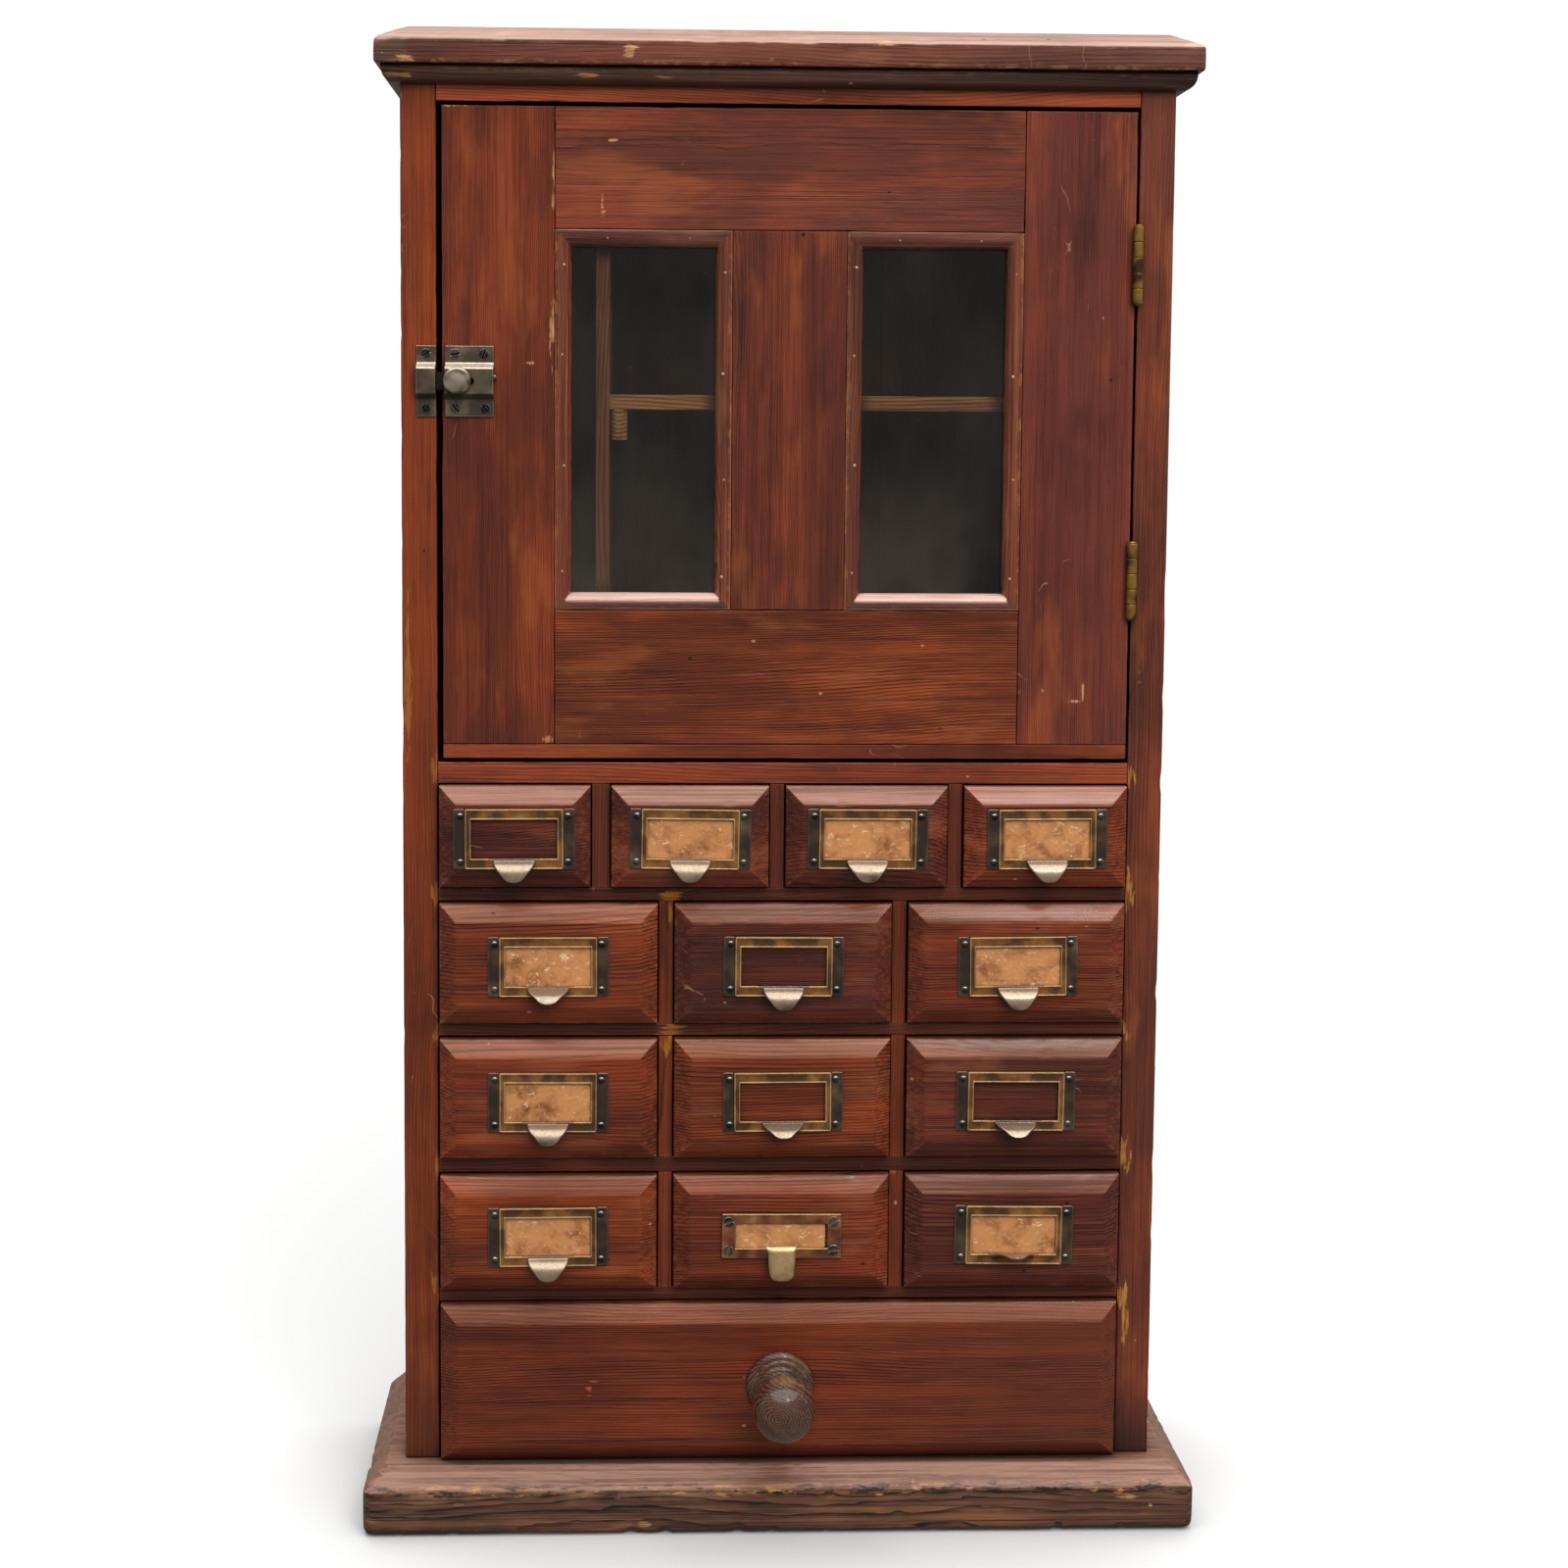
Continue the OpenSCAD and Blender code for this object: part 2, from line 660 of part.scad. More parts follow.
// Flat cast frame with a thick thumb tongue that leans out from its lower bar.
module cast_pull() {
    thick = 2.2;
    lean = 24;
    length = 22;
    rise = -brass_opening[1] / 2 - 1;
    difference() {
        translate([-pull_w / 2, -thick, -brass_frame_h / 2]) cube([pull_w, thick, brass_frame_h]);
        translate([-brass_opening[0] / 2, -thick - OVER, -brass_opening[1] / 2])
            cube([brass_opening[0], thick + 2 * OVER, brass_opening[1]]);
    }
    translate([0, -thick + EPS, rise]) rotate([-lean, 0, 0]) translate([0, -thick - 0.6, 0]) {
        along_y(thick + 0.6) polygon([
            [-tongue_w / 2, 0], [-tongue_w / 2 + 1, -length * 0.7], [-tongue_w / 2 + 4, -length],
            [tongue_w / 2 - 4, -length], [tongue_w / 2 - 1, -length * 0.7], [tongue_w / 2, 0]
        ]);
    }
}

module drawer_pull(d) {
    centre = [drawer_x(d) + drawer_w(d) / 2, -proud, drawer_z(d) + drawer_h(d) / 2];
    color(OLD_BRASS) at_front() translate(centre)
        if (lip_bend(d) < 0) cast_pull(); else card_pull(lip_bend(d));
}

// Turned knob: stepped base disc, waisted neck, ball.
module wide_drawer_knob() {
    base_r = knob_base_d / 2;
    ball_r = knob_d / 2;
    color(DARK_STAIN) at_front() translate([0, -proud, base_t + gap + wide_h / 2]) rotate([90, 0, 0])
        rotate_extrude() intersection() {
            union() {
                polygon([[0, 0], [base_r, 0], [base_r, 2.5], [base_r - 1.5, 4], [base_r - 4.5, 4.6],
                         [base_r - 5, 6], [base_r - 7.5, 6.6], [base_r - 8, 8], [base_r - 11, 10],
                         [base_r - 12, 14], [base_r - 10.5, 21], [0, knob_reach]]);
                translate([0, knob_reach]) circle(ball_r);
            }
            square([2 * base_r, knob_reach + 2 * ball_r]);
        }
}

// ---- assembly ----

base_board();
side_boards();
top_board();
cornice_moulding();
back_boards();
cross_boards();
drawer_dividers();
cupboard_partition();
cupboard_shelf();
hinge_frame_leaves();
latch_keeper();
door_stiles();
door_rails();
door_beads();
door_panes();
hinge_door_leaves();
latch_case();
latch_bolt();
drawer_front(-in_x + gap, base_t + gap, 2 * (in_x - gap), wide_h);  // wide_drawer_front
drawer_box(-in_x + gap, base_t + gap, 2 * (in_x - gap), wide_h);  // wide_drawer_box
wide_drawer_knob();
for (d = SMALL) {
    drawer_front(drawer_x(d), drawer_z(d), drawer_w(d), drawer_h(d));
    drawer_box(drawer_x(d), drawer_z(d), drawer_w(d), drawer_h(d));
    drawer_pull(d);
}
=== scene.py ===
"""Stained pine apothecary cabinet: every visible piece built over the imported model, in metres."""

import math

import bmesh
import bpy
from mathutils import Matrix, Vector, noise


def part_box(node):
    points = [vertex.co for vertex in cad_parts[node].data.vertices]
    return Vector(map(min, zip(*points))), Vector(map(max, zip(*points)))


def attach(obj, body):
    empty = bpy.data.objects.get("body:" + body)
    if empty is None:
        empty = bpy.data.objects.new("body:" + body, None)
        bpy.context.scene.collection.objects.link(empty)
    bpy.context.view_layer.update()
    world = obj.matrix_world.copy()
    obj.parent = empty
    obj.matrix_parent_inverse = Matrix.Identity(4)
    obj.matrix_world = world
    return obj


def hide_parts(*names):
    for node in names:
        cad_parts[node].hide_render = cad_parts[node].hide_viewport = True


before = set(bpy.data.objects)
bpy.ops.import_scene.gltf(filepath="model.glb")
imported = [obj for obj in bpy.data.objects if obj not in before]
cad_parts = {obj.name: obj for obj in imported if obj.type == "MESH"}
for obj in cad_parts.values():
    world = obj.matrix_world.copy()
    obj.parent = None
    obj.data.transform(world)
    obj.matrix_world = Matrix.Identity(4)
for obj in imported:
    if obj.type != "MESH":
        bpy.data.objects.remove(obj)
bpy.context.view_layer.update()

MM = 0.001
ROOT = "carcass"
SMALL = [(r, c) for r in (1, 2, 3, 4) for c in range(1, 5 if r == 1 else 4)]


# ---------------------------------------------------------------- shader helper


def rgb(r, g, b):
    """A colour given as 0-255 display values, as linear RGBA."""
    def lin(v):
        v /= 255
        return v / 12.92 if v <= 0.04045 else ((v + 0.055) / 1.055) ** 2.4
    return (lin(r), lin(g), lin(b), 1.0)


class Shader:
    """Builds one node material; every method returns an output socket."""

    def __init__(self, name):
        self.mat = bpy.data.materials.new(name)
        self.mat.use_nodes = True
        self.tree = self.mat.node_tree
        self.tree.nodes.clear()
        self.out = self.tree.nodes.new("ShaderNodeOutputMaterial")
        self.bsdf = self.tree.nodes.new("ShaderNodeBsdfPrincipled")
        self.tree.links.new(self.bsdf.outputs[0], self.out.inputs[0])
        self.pos = self.tree.nodes.new("ShaderNodeTexCoord").outputs["Object"]
        self.geo = self.tree.nodes.new("ShaderNodeNewGeometry")

    def put(self, socket, value):
        if isinstance(value, bpy.types.NodeSocket):
            self.tree.links.new(value, socket)
        else:
            socket.default_value = value

    def set(self, socket, value):
        self.put(self.bsdf.inputs[socket], value)

    def node(self, kind, values=(), **props):
        n = self.tree.nodes.new("ShaderNode" + kind)
        for k, v in props.items():
            setattr(n, k, v)
        for k, v in dict(values).items():
            self.put(n.inputs[k], v)
        return n

    def math(self, op, a, b=0.0, c=0.0, clamp=False):
        return self.node("Math", {0: a, 1: b, 2: c}, operation=op, use_clamp=clamp).outputs[0]

    def vmath(self, op, a, b=(0, 0, 0)):
        return self.node("VectorMath", {0: a, 1: b}, operation=op)

    def fit(self, value, lo, hi, to_lo=0.0, to_hi=1.0):
        n = self.node("MapRange", {"Value": value, "From Min": lo, "From Max": hi,
                                   "To Min": to_lo, "To Max": to_hi})
        n.interpolation_type = "SMOOTHSTEP"
        return n.outputs[0]

    def mix(self, fac, a, b):
        n = self.node("Mix", data_type="RGBA")
        self.put(n.inputs["Factor"], fac)
        self.put(n.inputs[6], a)
        self.put(n.inputs[7], b)
        return n.outputs[2]

    def stretch(self, vec, scale, shift=(0, 0, 0)):
        return self.node("Mapping", {"Vector": vec, "Location": shift, "Scale": scale}).outputs[0]

    def noise(self, vec, detail=2.0, rough=0.5, distort=0.0):
        return self.node("TexNoise", {"Vector": vec, "Scale": 1.0, "Detail": detail,
                                      "Roughness": rough, "Distortion": distort}).outputs[0]

    def edges(self, radius, lo=0.02, hi=0.2):
        """1 along arrises, 0 on flats."""
        soft = self.node("Bevel", {"Radius": radius}, samples=4).outputs[0]
        dot = self.vmath("DOT_PRODUCT", soft, self.geo.outputs["Normal"]).outputs["Value"]
        return self.fit(self.math("SUBTRACT", 1.0, dot), lo, hi)

    def crevice(self, distance, lo=0.35, hi=0.85):
        """1 in corners and joints, 0 in the open."""
        ao = self.node("AmbientOcclusion", {"Distance": distance}, samples=4).outputs["AO"]
        return self.fit(ao, lo, hi, 1.0, 0.0)

    def patches(self, spots, ragged):
        """1 inside the listed ellipsoids (x, y, z, rx, ry, rz in millimetres), with a ragged rim."""
        total = 0.0
        for x, y, z, rx, ry, rz in spots:
            off = self.vmath("SUBTRACT", self.pos, (x * MM, y * MM, z * MM)).outputs[0]
            near = self.vmath("MULTIPLY", off, (1 / (rx * MM), 1 / (ry * MM), 1 / (rz * MM))).outputs[0]
            dist = self.math("ADD", self.vmath("LENGTH", near).outputs["Value"], ragged)
            total = self.math("MAXIMUM", total, self.fit(dist, 0.55, 1.0, 1.0, 0.0))
        return total

    def bump(self, height, depth, strength=1.0):
        n = self.node("Bump", {"Height": height, "Distance": depth, "Strength": strength})
        self.put(self.bsdf.inputs["Normal"], n.outputs[0])
        return n


# ---------------------------------------------------------------- materials

REDDISH = (rgb(140, 58, 24), rgb(92, 34, 18), rgb(30, 13, 10))


def wood(name, grain, centre, seed, tones=REDDISH, ring=2.6, pith=(-80.0, 18.0), contrast=0.75,
         blotch=0.55, gloss=0.40, coat=0.25, worn=rgb(160, 84, 42), wear=0.6, grime_and_shade=0.8,
         bare_and_highlight=(), bare_and_highlight_tone=rgb(156, 96, 40), knots=(), specks=0.6, scratches=0.6, rough_bump=1.0, chipped=0.0,
         tone_and_shade_bands=(), sheen=0.45, stripes=0.62, reach=0.013, up=0.0, top_highlight_tone=rgb(214, 150, 118), mottled=0.3,
         arris=None, top_highlight_from=(0.12, 0.55)):
    """Pine with growth rings round a pith line that runs along the grain axis, stained, waxed and worn, with painted
    shade in joints and recesses and an optional painted highlight on faces turned upward.
    """
    s = Shader(name)
    split = s.node("SeparateXYZ", {0: s.pos}).outputs
    order = {"x": (0, 2, 1), "z": (2, 0, 1), "y": (1, 2, 0)}[grain]
    c = [centre[i] for i in order]
    along, across, depth = (s.math("SUBTRACT", split[i], c[n]) for n, i in enumerate(order))
    local = s.node("CombineXYZ", {0: along, 1: across, 2: depth}).outputs[0]
    shift = (seed * 3.17, seed * 1.31, seed * 0.77)

    wander = s.noise(s.stretch(local, (2.6, 10, 10), shift), 1.0)
    ripple = s.noise(s.stretch(local, (14, 90, 90), shift), 3.0, 0.6)
    fibre = s.noise(s.stretch(local, (22, 1300, 1300), shift), 3.0, 0.65)
    streak = s.noise(s.stretch(local, (5, 420, 420), shift), 4.0, 0.65)
    band = s.noise(s.stretch(local, (2.4, 60, 60), shift), 3.0, 0.6)
    cloud = s.noise(s.stretch(local, (5.5, 16, 16), shift), 4.0, 0.62)
    mottle = s.noise(s.stretch(local, (11, 34, 34), shift), 3.0, 0.6)

    bend = s.math("MULTIPLY", s.math("SUBTRACT", wander, 0.5), 0.045)
    side = s.math("ADD", s.math("SUBTRACT", across, pith[0] * MM), bend)
    deep = s.math("ADD", depth, pith[1] * MM)
    radius = s.math("SQRT", s.math("ADD", s.math("MULTIPLY", side, side), s.math("MULTIPLY", deep, deep)))
    radius = s.math("ADD", radius, s.math("MULTIPLY", s.math("SUBTRACT", ripple, 0.5), 0.0026))
    knot_core = 0.0
    for ka, kx, kr in knots:
        off = s.vmath("SUBTRACT", local, (ka * MM, kx * MM, 0)).outputs[0]
        near = s.vmath("LENGTH", s.vmath("MULTIPLY", off, (0.45, 1, 0)).outputs[0]).outputs["Value"]
        pull = s.math("MULTIPLY", s.fit(near, 0.0, kr * 3.2 * MM, 1.0, 0.0), kr * 1.6 * MM)
        radius = s.math("ADD", radius, pull)
        knot_core = s.math("MAXIMUM", knot_core, s.fit(near, kr * 0.35 * MM, kr * 0.8 * MM, 1.0, 0.0))
    phase = s.math("FRACT", s.math("DIVIDE", radius, ring * MM))
    late = s.math("MULTIPLY", s.math("POWER", phase, 4.0), s.fit(phase, 0.93, 1.0, 1.5, 0.0))
    late = s.math("MULTIPLY", late, s.fit(band, 0.3, 0.65, 0.4, 1.4))

    light, mid_tone, dark = tones
    tone = s.mix(s.fit(cloud, 0.38, 0.62), light, mid_tone)
    tone = s.mix(blotch, light, tone)
    tone = s.mix(s.math("MULTIPLY", s.fit(band, 0.52, 0.70), 0.5), tone, mid_tone)
    tone = s.mix(s.math("MULTIPLY", late, contrast, clamp=True), tone, dark)
    tone = s.mix(s.math("MULTIPLY", s.fit(streak, 0.48, 0.70), stripes), tone, dark)
    tone = s.mix(s.math("MULTIPLY", s.fit(streak, 0.50, 0.30), 0.35 * stripes), tone, worn)
    tone = s.mix(s.math("MULTIPLY", s.fit(mottle, 0.50, 0.68), mottled), tone, mid_tone)
    tone = s.mix(s.math("MULTIPLY", s.fit(mottle, 0.46, 0.30), mottled * 0.6), tone, worn)
    tone = s.mix(s.math("MULTIPLY", s.fit(fibre, 0.42, 0.68), 0.36), tone, dark)
    tone = s.mix(s.math("MULTIPLY", s.fit(cloud, 0.58, 0.76), 0.5), tone, dark)
    tone = s.mix(s.math("MULTIPLY", knot_core, 0.8), tone, dark)

    # colour bands along one axis: some are the wood's own colour, such as end grain, and some are painted shade
    for axis, start, end, other, amount in tone_and_shade_bands:
        tone = s.mix(s.math("MULTIPLY", s.fit(split[axis], start, end), amount), tone, other)
    # painted highlight: faces turned upward are mixed towards a pale tone, standing in for the overhead light on them
    if up:
        lit = s.node("SeparateXYZ", {0: s.geo.outputs["Normal"]}).outputs[2]
        lit = s.math("MULTIPLY", s.fit(lit, *top_highlight_from), s.fit(streak, 0.66, 0.36, 0.55, 1.0))
        tone = s.mix(s.math("MULTIPLY", lit, s.math("MULTIPLY", s.fit(mottle, 0.3, 0.6, 0.7, 1.0), up)), tone, top_highlight_tone)
    rim = s.edges(0.0022)
    rub = s.math("MULTIPLY", rim, s.fit(ripple, 0.36, 0.62, 0.15, 1.0))
    rub = s.math("MULTIPLY", rub, s.fit(cloud, 0.30, 0.60, 0.4, 1.0))
    tone = s.mix(s.math("MULTIPLY", rub, wear), tone, worn)
    if chipped:
        chip = s.noise(s.stretch(local, (110, 190, 190), shift), 3.0, 0.7)
        chip = s.math("MULTIPLY", s.fit(chip, 0.53, 0.60), s.edges(0.006, 0.01, 0.12))
        tone = s.mix(s.math("MULTIPLY", chip, chipped), tone, bare_and_highlight_tone)
    if arris:
        axis, level, half = arris
        off = s.math("ABSOLUTE", s.math("SUBTRACT", split[axis], level * MM))
        bite = s.noise(s.stretch(local, (42, 130, 210), shift), 4.0, 0.75)
        near = s.fit(off, 0.25 * half * MM, half * MM, 1.0, 0.0)
        tone = s.mix(s.math("MULTIPLY", near, s.fit(bite, 0.47, 0.40, 0.0, 0.85)), tone, dark)
        tone = s.mix(s.math("MULTIPLY", near, s.fit(bite, 0.575, 0.615, 0.0, 0.9)), tone, bare_and_highlight_tone)
    if bare_and_highlight:
        rag = s.noise(s.stretch(local, (60, 420, 420), shift), 4.0, 0.7)
        ragged = s.math("MULTIPLY", s.math("SUBTRACT", rag, 0.5), 3.4)
        ragged = s.math("ADD", ragged, s.math("MULTIPLY", s.math("SUBTRACT", ripple, 0.42), 2.2))
        spot = s.patches(bare_and_highlight, ragged)
        tone = s.mix(s.math("MULTIPLY", spot, s.fit(rag, 0.62, 0.38, 0.35, 0.95)), tone, bare_and_highlight_tone)
    # darker in joints, corners and recesses within reach: partly grime, partly painted shade
    dirt_and_shade = s.math("MULTIPLY", s.crevice(reach), grime_and_shade)
    tone = s.mix(dirt_and_shade, tone, rgb(14, 8, 7))
    if specks:
        cells = s.node("TexVoronoi", {"Vector": s.stretch(local, (45, 66, 66), shift), "Scale": 1.0})
        lucky = s.node("SeparateXYZ", {0: cells.outputs["Color"]}).outputs
        size = s.math("MULTIPLY", s.fit(lucky[0], 0.84, 1.0), 0.07)
        dot = s.math("LESS_THAN", cells.outputs["Distance"], size)
        tone = s.mix(s.math("MULTIPLY", dot, specks), tone, rgb(196, 150, 108))
        pit = s.math("LESS_THAN", cells.outputs["Distance"], s.math("MULTIPLY", s.fit(lucky[1], 0.75, 1.0), 0.07))
        tone = s.mix(s.math("MULTIPLY", pit, 0.8), tone, rgb(18, 9, 8))
    if scratches:
        curl = s.noise(s.stretch(local, (26, 34, 34), shift), 1.0)
        thin = s.fit(s.math("ABSOLUTE", s.math("SUBTRACT", curl, 0.5)), 0.0, 0.0075, 1.0, 0.0)
        where = s.math("MULTIPLY", s.fit(cloud, 0.60, 0.66), s.fit(ripple, 0.5, 0.56))
        tone = s.mix(s.math("MULTIPLY", s.math("MULTIPLY", thin, where), scratches), tone, rgb(186, 130, 92))
    s.set("Base Color", tone)

    rough = s.fit(cloud, 0.3, 0.7, gloss - 0.08, gloss + 0.12)
    rough = s.math("ADD", rough, s.math("MULTIPLY", fibre, 0.12))
    rough = s.math("ADD", rough, s.math("MULTIPLY", dirt_and_shade, 0.25))
    s.set("Roughness", s.math("ADD", rough, s.math("MULTIPLY", rub, 0.12), clamp=True))
    s.bsdf.inputs["Specular IOR Level"].default_value = sheen
    s.bsdf.inputs["Coat Weight"].default_value = coat
    s.bsdf.inputs["Coat Roughness"].default_value = 0.16
    height = s.math("ADD", s.math("MULTIPLY", late, 0.4), s.math("MULTIPLY", fibre, 0.7))
    height = s.math("SUBTRACT", height, s.math("MULTIPLY", s.fit(streak, 0.50, 0.72), 0.9))
    height = s.math("ADD", height, s.math("MULTIPLY", ripple, 1.3))
    s.bump(height, 0.0003 * rough_bump)
    return s.mat


def metal(name, bare_and_highlight, dull, dark, polish=0.35, grain=420.0, edge=0.0009, rough=0.38, proud=None, body=0.55, smooth=1.0):
    """Old metal: dark patina over most of it, rubbed back to bright metal where fingers and edges rub; faces turned
    upward get a painted highlight and faces turned downward painted shade.
    """
    s = Shader(name)
    fine = s.noise(s.stretch(s.pos, (grain, grain, grain)), 4.0, 0.6)
    broad = s.noise(s.stretch(s.pos, (75, 75, 75)), 2.0, 0.5)
    scratch = s.noise(s.stretch(s.pos, (2600, 2600, 260)), 2.0, 0.5)
    rim = s.edges(edge, 0.01, 0.16)
    shine = s.math("ADD", s.math("MULTIPLY", rim, 0.85), s.fit(broad, 0.62 - 0.5 * polish, 0.95 - 0.5 * polish, 0.0, 0.8 * smooth))
    if proud:
        high = s.fit(s.node("SeparateXYZ", {0: s.pos}).outputs[1], proud[0], proud[1])
        shine = s.math("MAXIMUM", shine, s.math("MULTIPLY", high, s.fit(broad, 0.35, 0.6, 0.35, 1.0)))
    # painted highlight: faces turned upward are pushed towards the bright tone, standing in for the overhead light
    tilt = s.node("SeparateXYZ", {0: s.geo.outputs["Normal"]}).outputs[2]
    shine = s.math("MAXIMUM", shine, s.fit(tilt, 0.2, 0.6))
    shine = s.math("MULTIPLY", shine, s.fit(fine, 0.3, 0.6, 0.7, 1.0), clamp=True)
    tone = s.mix(s.fit(broad, 0.40, 0.62), dark, dull)
    tone = s.mix(s.math("MULTIPLY", s.fit(fine, 0.40, 0.66), 0.35 * smooth), tone, dark)
    tone = s.mix(shine, tone, bare_and_highlight)
    dirt_and_shade = s.math("MULTIPLY", s.crevice(0.0035, 0.3, 0.8), 0.8)
    # painted shade: faces turned downward are darkened, on top of the grime in hollows
    dirt_and_shade = s.math("MAXIMUM", dirt_and_shade, s.fit(tilt, -0.2, -0.7, 0.0, 0.6))
    tone = s.mix(dirt_and_shade, tone, rgb(22, 17, 13))
    s.set("Base Color", tone)
    s.set("Metallic", s.math("SUBTRACT", s.fit(shine, 0.0, 0.7, body, body + 0.4 * (1 - body)), s.math("MULTIPLY", dirt_and_shade, 0.5), clamp=True))
    r = s.math("ADD", s.fit(shine, 0.0, 1.0, rough + 0.16, rough - 0.06), s.math("MULTIPLY", scratch, 0.12))
    s.set("Roughness", s.math("ADD", r, s.math("MULTIPLY", dirt_and_shade, 0.3), clamp=True))
    s.bump(s.math("ADD", s.math("MULTIPLY", fine, 0.7), s.math("MULTIPLY", scratch, 0.3)), 0.00009)
    return s.mat


def card_paper(name, seed, tone_a=rgb(206, 142, 88), tone_b=rgb(150, 92, 54)):
    """Browned card with smudges, rubbed corners and faint creases."""
    s = Shader(name)
    shift = (seed * 0.71, seed * 0.37, seed * 0.53)
    smudge = s.noise(s.stretch(s.pos, (60, 60, 75), shift), 4.0, 0.62, 0.4)
    small = s.noise(s.stretch(s.pos, (330, 330, 420), shift), 4.0, 0.7)
    fibres = s.noise(s.stretch(s.pos, (2400, 900, 2400), shift), 2.0, 0.6)
    tone = s.mix(s.fit(smudge, 0.42, 0.72), tone_a, tone_b)
    tone = s.mix(s.math("MULTIPLY", s.fit(smudge, 0.60, 0.76), 0.55), tone, rgb(92, 54, 36))
    tone = s.mix(s.math("MULTIPLY", s.fit(small, 0.56, 0.66), 0.45), tone, rgb(236, 190, 140))
    torn = s.noise(s.stretch(s.pos, (130, 130, 210), shift), 5.0, 0.75, 0.6)
    tone = s.mix(s.math("MULTIPLY", s.fit(torn, 0.60, 0.645), 0.8), tone, rgb(246, 214, 172))
    tone = s.mix(s.math("MULTIPLY", s.fit(fibres, 0.4, 0.7), 0.16), tone, rgb(110, 66, 40))
    tone = s.mix(s.math("MULTIPLY", s.crevice(0.004, 0.25, 0.75), 0.5), tone, rgb(96, 58, 34))
    s.set("Base Color", tone)
    s.set("Roughness", s.fit(small, 0.3, 0.7, 0.62, 0.85))
    s.bump(s.math("ADD", small, s.math("MULTIPLY", fibres, 0.4)), 0.0001)
    return s.mat


def pane_material():
    """Thin old glass: clear, with a faint pale film that grows stronger towards its lower edge."""
    s = Shader("pane_glass")
    z = s.node("SeparateXYZ", {0: s.pos}).outputs[2]
    lo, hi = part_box("door_panes")
    low = s.fit(z, lo.z, lo.z + 0.45 * (hi.z - lo.z), 1.0, 0.0)
    cloud = s.noise(s.stretch(s.pos, (14, 14, 9)), 4.0, 0.6)
    wave = s.noise(s.stretch(s.pos, (9, 9, 5)), 1.0)
    film = s.math("MULTIPLY", s.fit(cloud, 0.35, 0.75), s.math("ADD", s.math("MULTIPLY", low, 0.028), 0.018))
    clear = s.node("BsdfTransparent", {"Color": rgb(242, 238, 232)}).outputs[0]
    gloss = s.node("BsdfGlossy", {"Color": (1, 1, 1, 1), "Roughness": 0.06})
    ripple = s.node("Bump", {"Height": wave, "Distance": 0.0006}).outputs[0]
    s.put(gloss.inputs["Normal"], ripple)
    fresnel = s.node("Fresnel", {"IOR": 1.5, "Normal": ripple}).outputs[0]
    look = s.node("MixShader", {0: fresnel, 1: clear, 2: gloss.outputs[0]}).outputs[0]
    s.set("Base Color", rgb(190, 176, 160))
    s.set("Roughness", 0.8)
    full = s.node("MixShader", {0: film, 1: look, 2: s.bsdf.outputs[0]}).outputs[0]
    s.tree.links.new(full, s.out.inputs[0])
    return s.mat


# ---------------------------------------------------------------- mesh helpers


def make(name, body, verts, faces, mats, replaces=(), slot=None, face_mat=None, flat=False):
    """A mesh piece in row coordinates, riding on a body."""
    me = bpy.data.meshes.new(name)
    me.from_pydata([tuple(v) for v in verts], [], faces)
    for m in mats if isinstance(mats, (list, tuple)) else [mats]:
        me.materials.append(m)
    if face_mat:
        me.polygons.foreach_set("material_index", face_mat)
    me.polygons.foreach_set("use_smooth", [not flat] * len(me.polygons))
    me.update()
    ob = bpy.data.objects.new(name, me)
    bpy.context.scene.collection.objects.link(ob)
    if not flat:
        mod = ob.modifiers.new("even", "WEIGHTED_NORMAL")
        mod.weight = 90
        mod.keep_sharp = False
    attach(ob, body)
    if replaces:
        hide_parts(*([replaces] if isinstance(replaces, str) else replaces))
    return ob


def outline(x0, x1, y0, y1, r, nx, ny, k=2):
    """Points of a rounded rectangle, anticlockwise, each with its outward direction."""
    pts = []
    corners = [(x0 + r, y0 + r, 180), (x1 - r, y0 + r, 270), (x1 - r, y1 - r, 0), (x0 + r, y1 - r, 90)]
    for n, (cx, cy, a0) in enumerate(corners):
        for i in range(k + 1):
            a = math.radians(a0 + 90 * i / k)
            d = (math.cos(a), math.sin(a))
            pts.append(((cx + r * d[0], cy + r * d[1]), d))
        (ax, ay), d = pts[-1]
        nxt = corners[(n + 1) % 4]
        b = math.radians(nxt[2])
        bx, by = nxt[0] + r * math.cos(b), nxt[1] + r * math.sin(b)
        steps = nx if n % 2 == 0 else ny
        for i in range(1, steps):
            t = i / steps
            pts.append(((ax + (bx - ax) * t, ay + (by - ay) * t), d))
    return pts


def chips(p, seed, fine, deep):
    """How far an arris is rubbed back at p: a gentle wander plus a few deeper nicks."""
    q = Vector(p) * fine + Vector((seed * 7.3, seed * 3.1, seed * 5.7))
    gentle = 0.5 + 0.5 * noise.noise(q * 0.35)
    nick = max(0.0, noise.noise(q) - 0.28)
    return gentle * 0.25 * deep + nick * 2.2 * deep


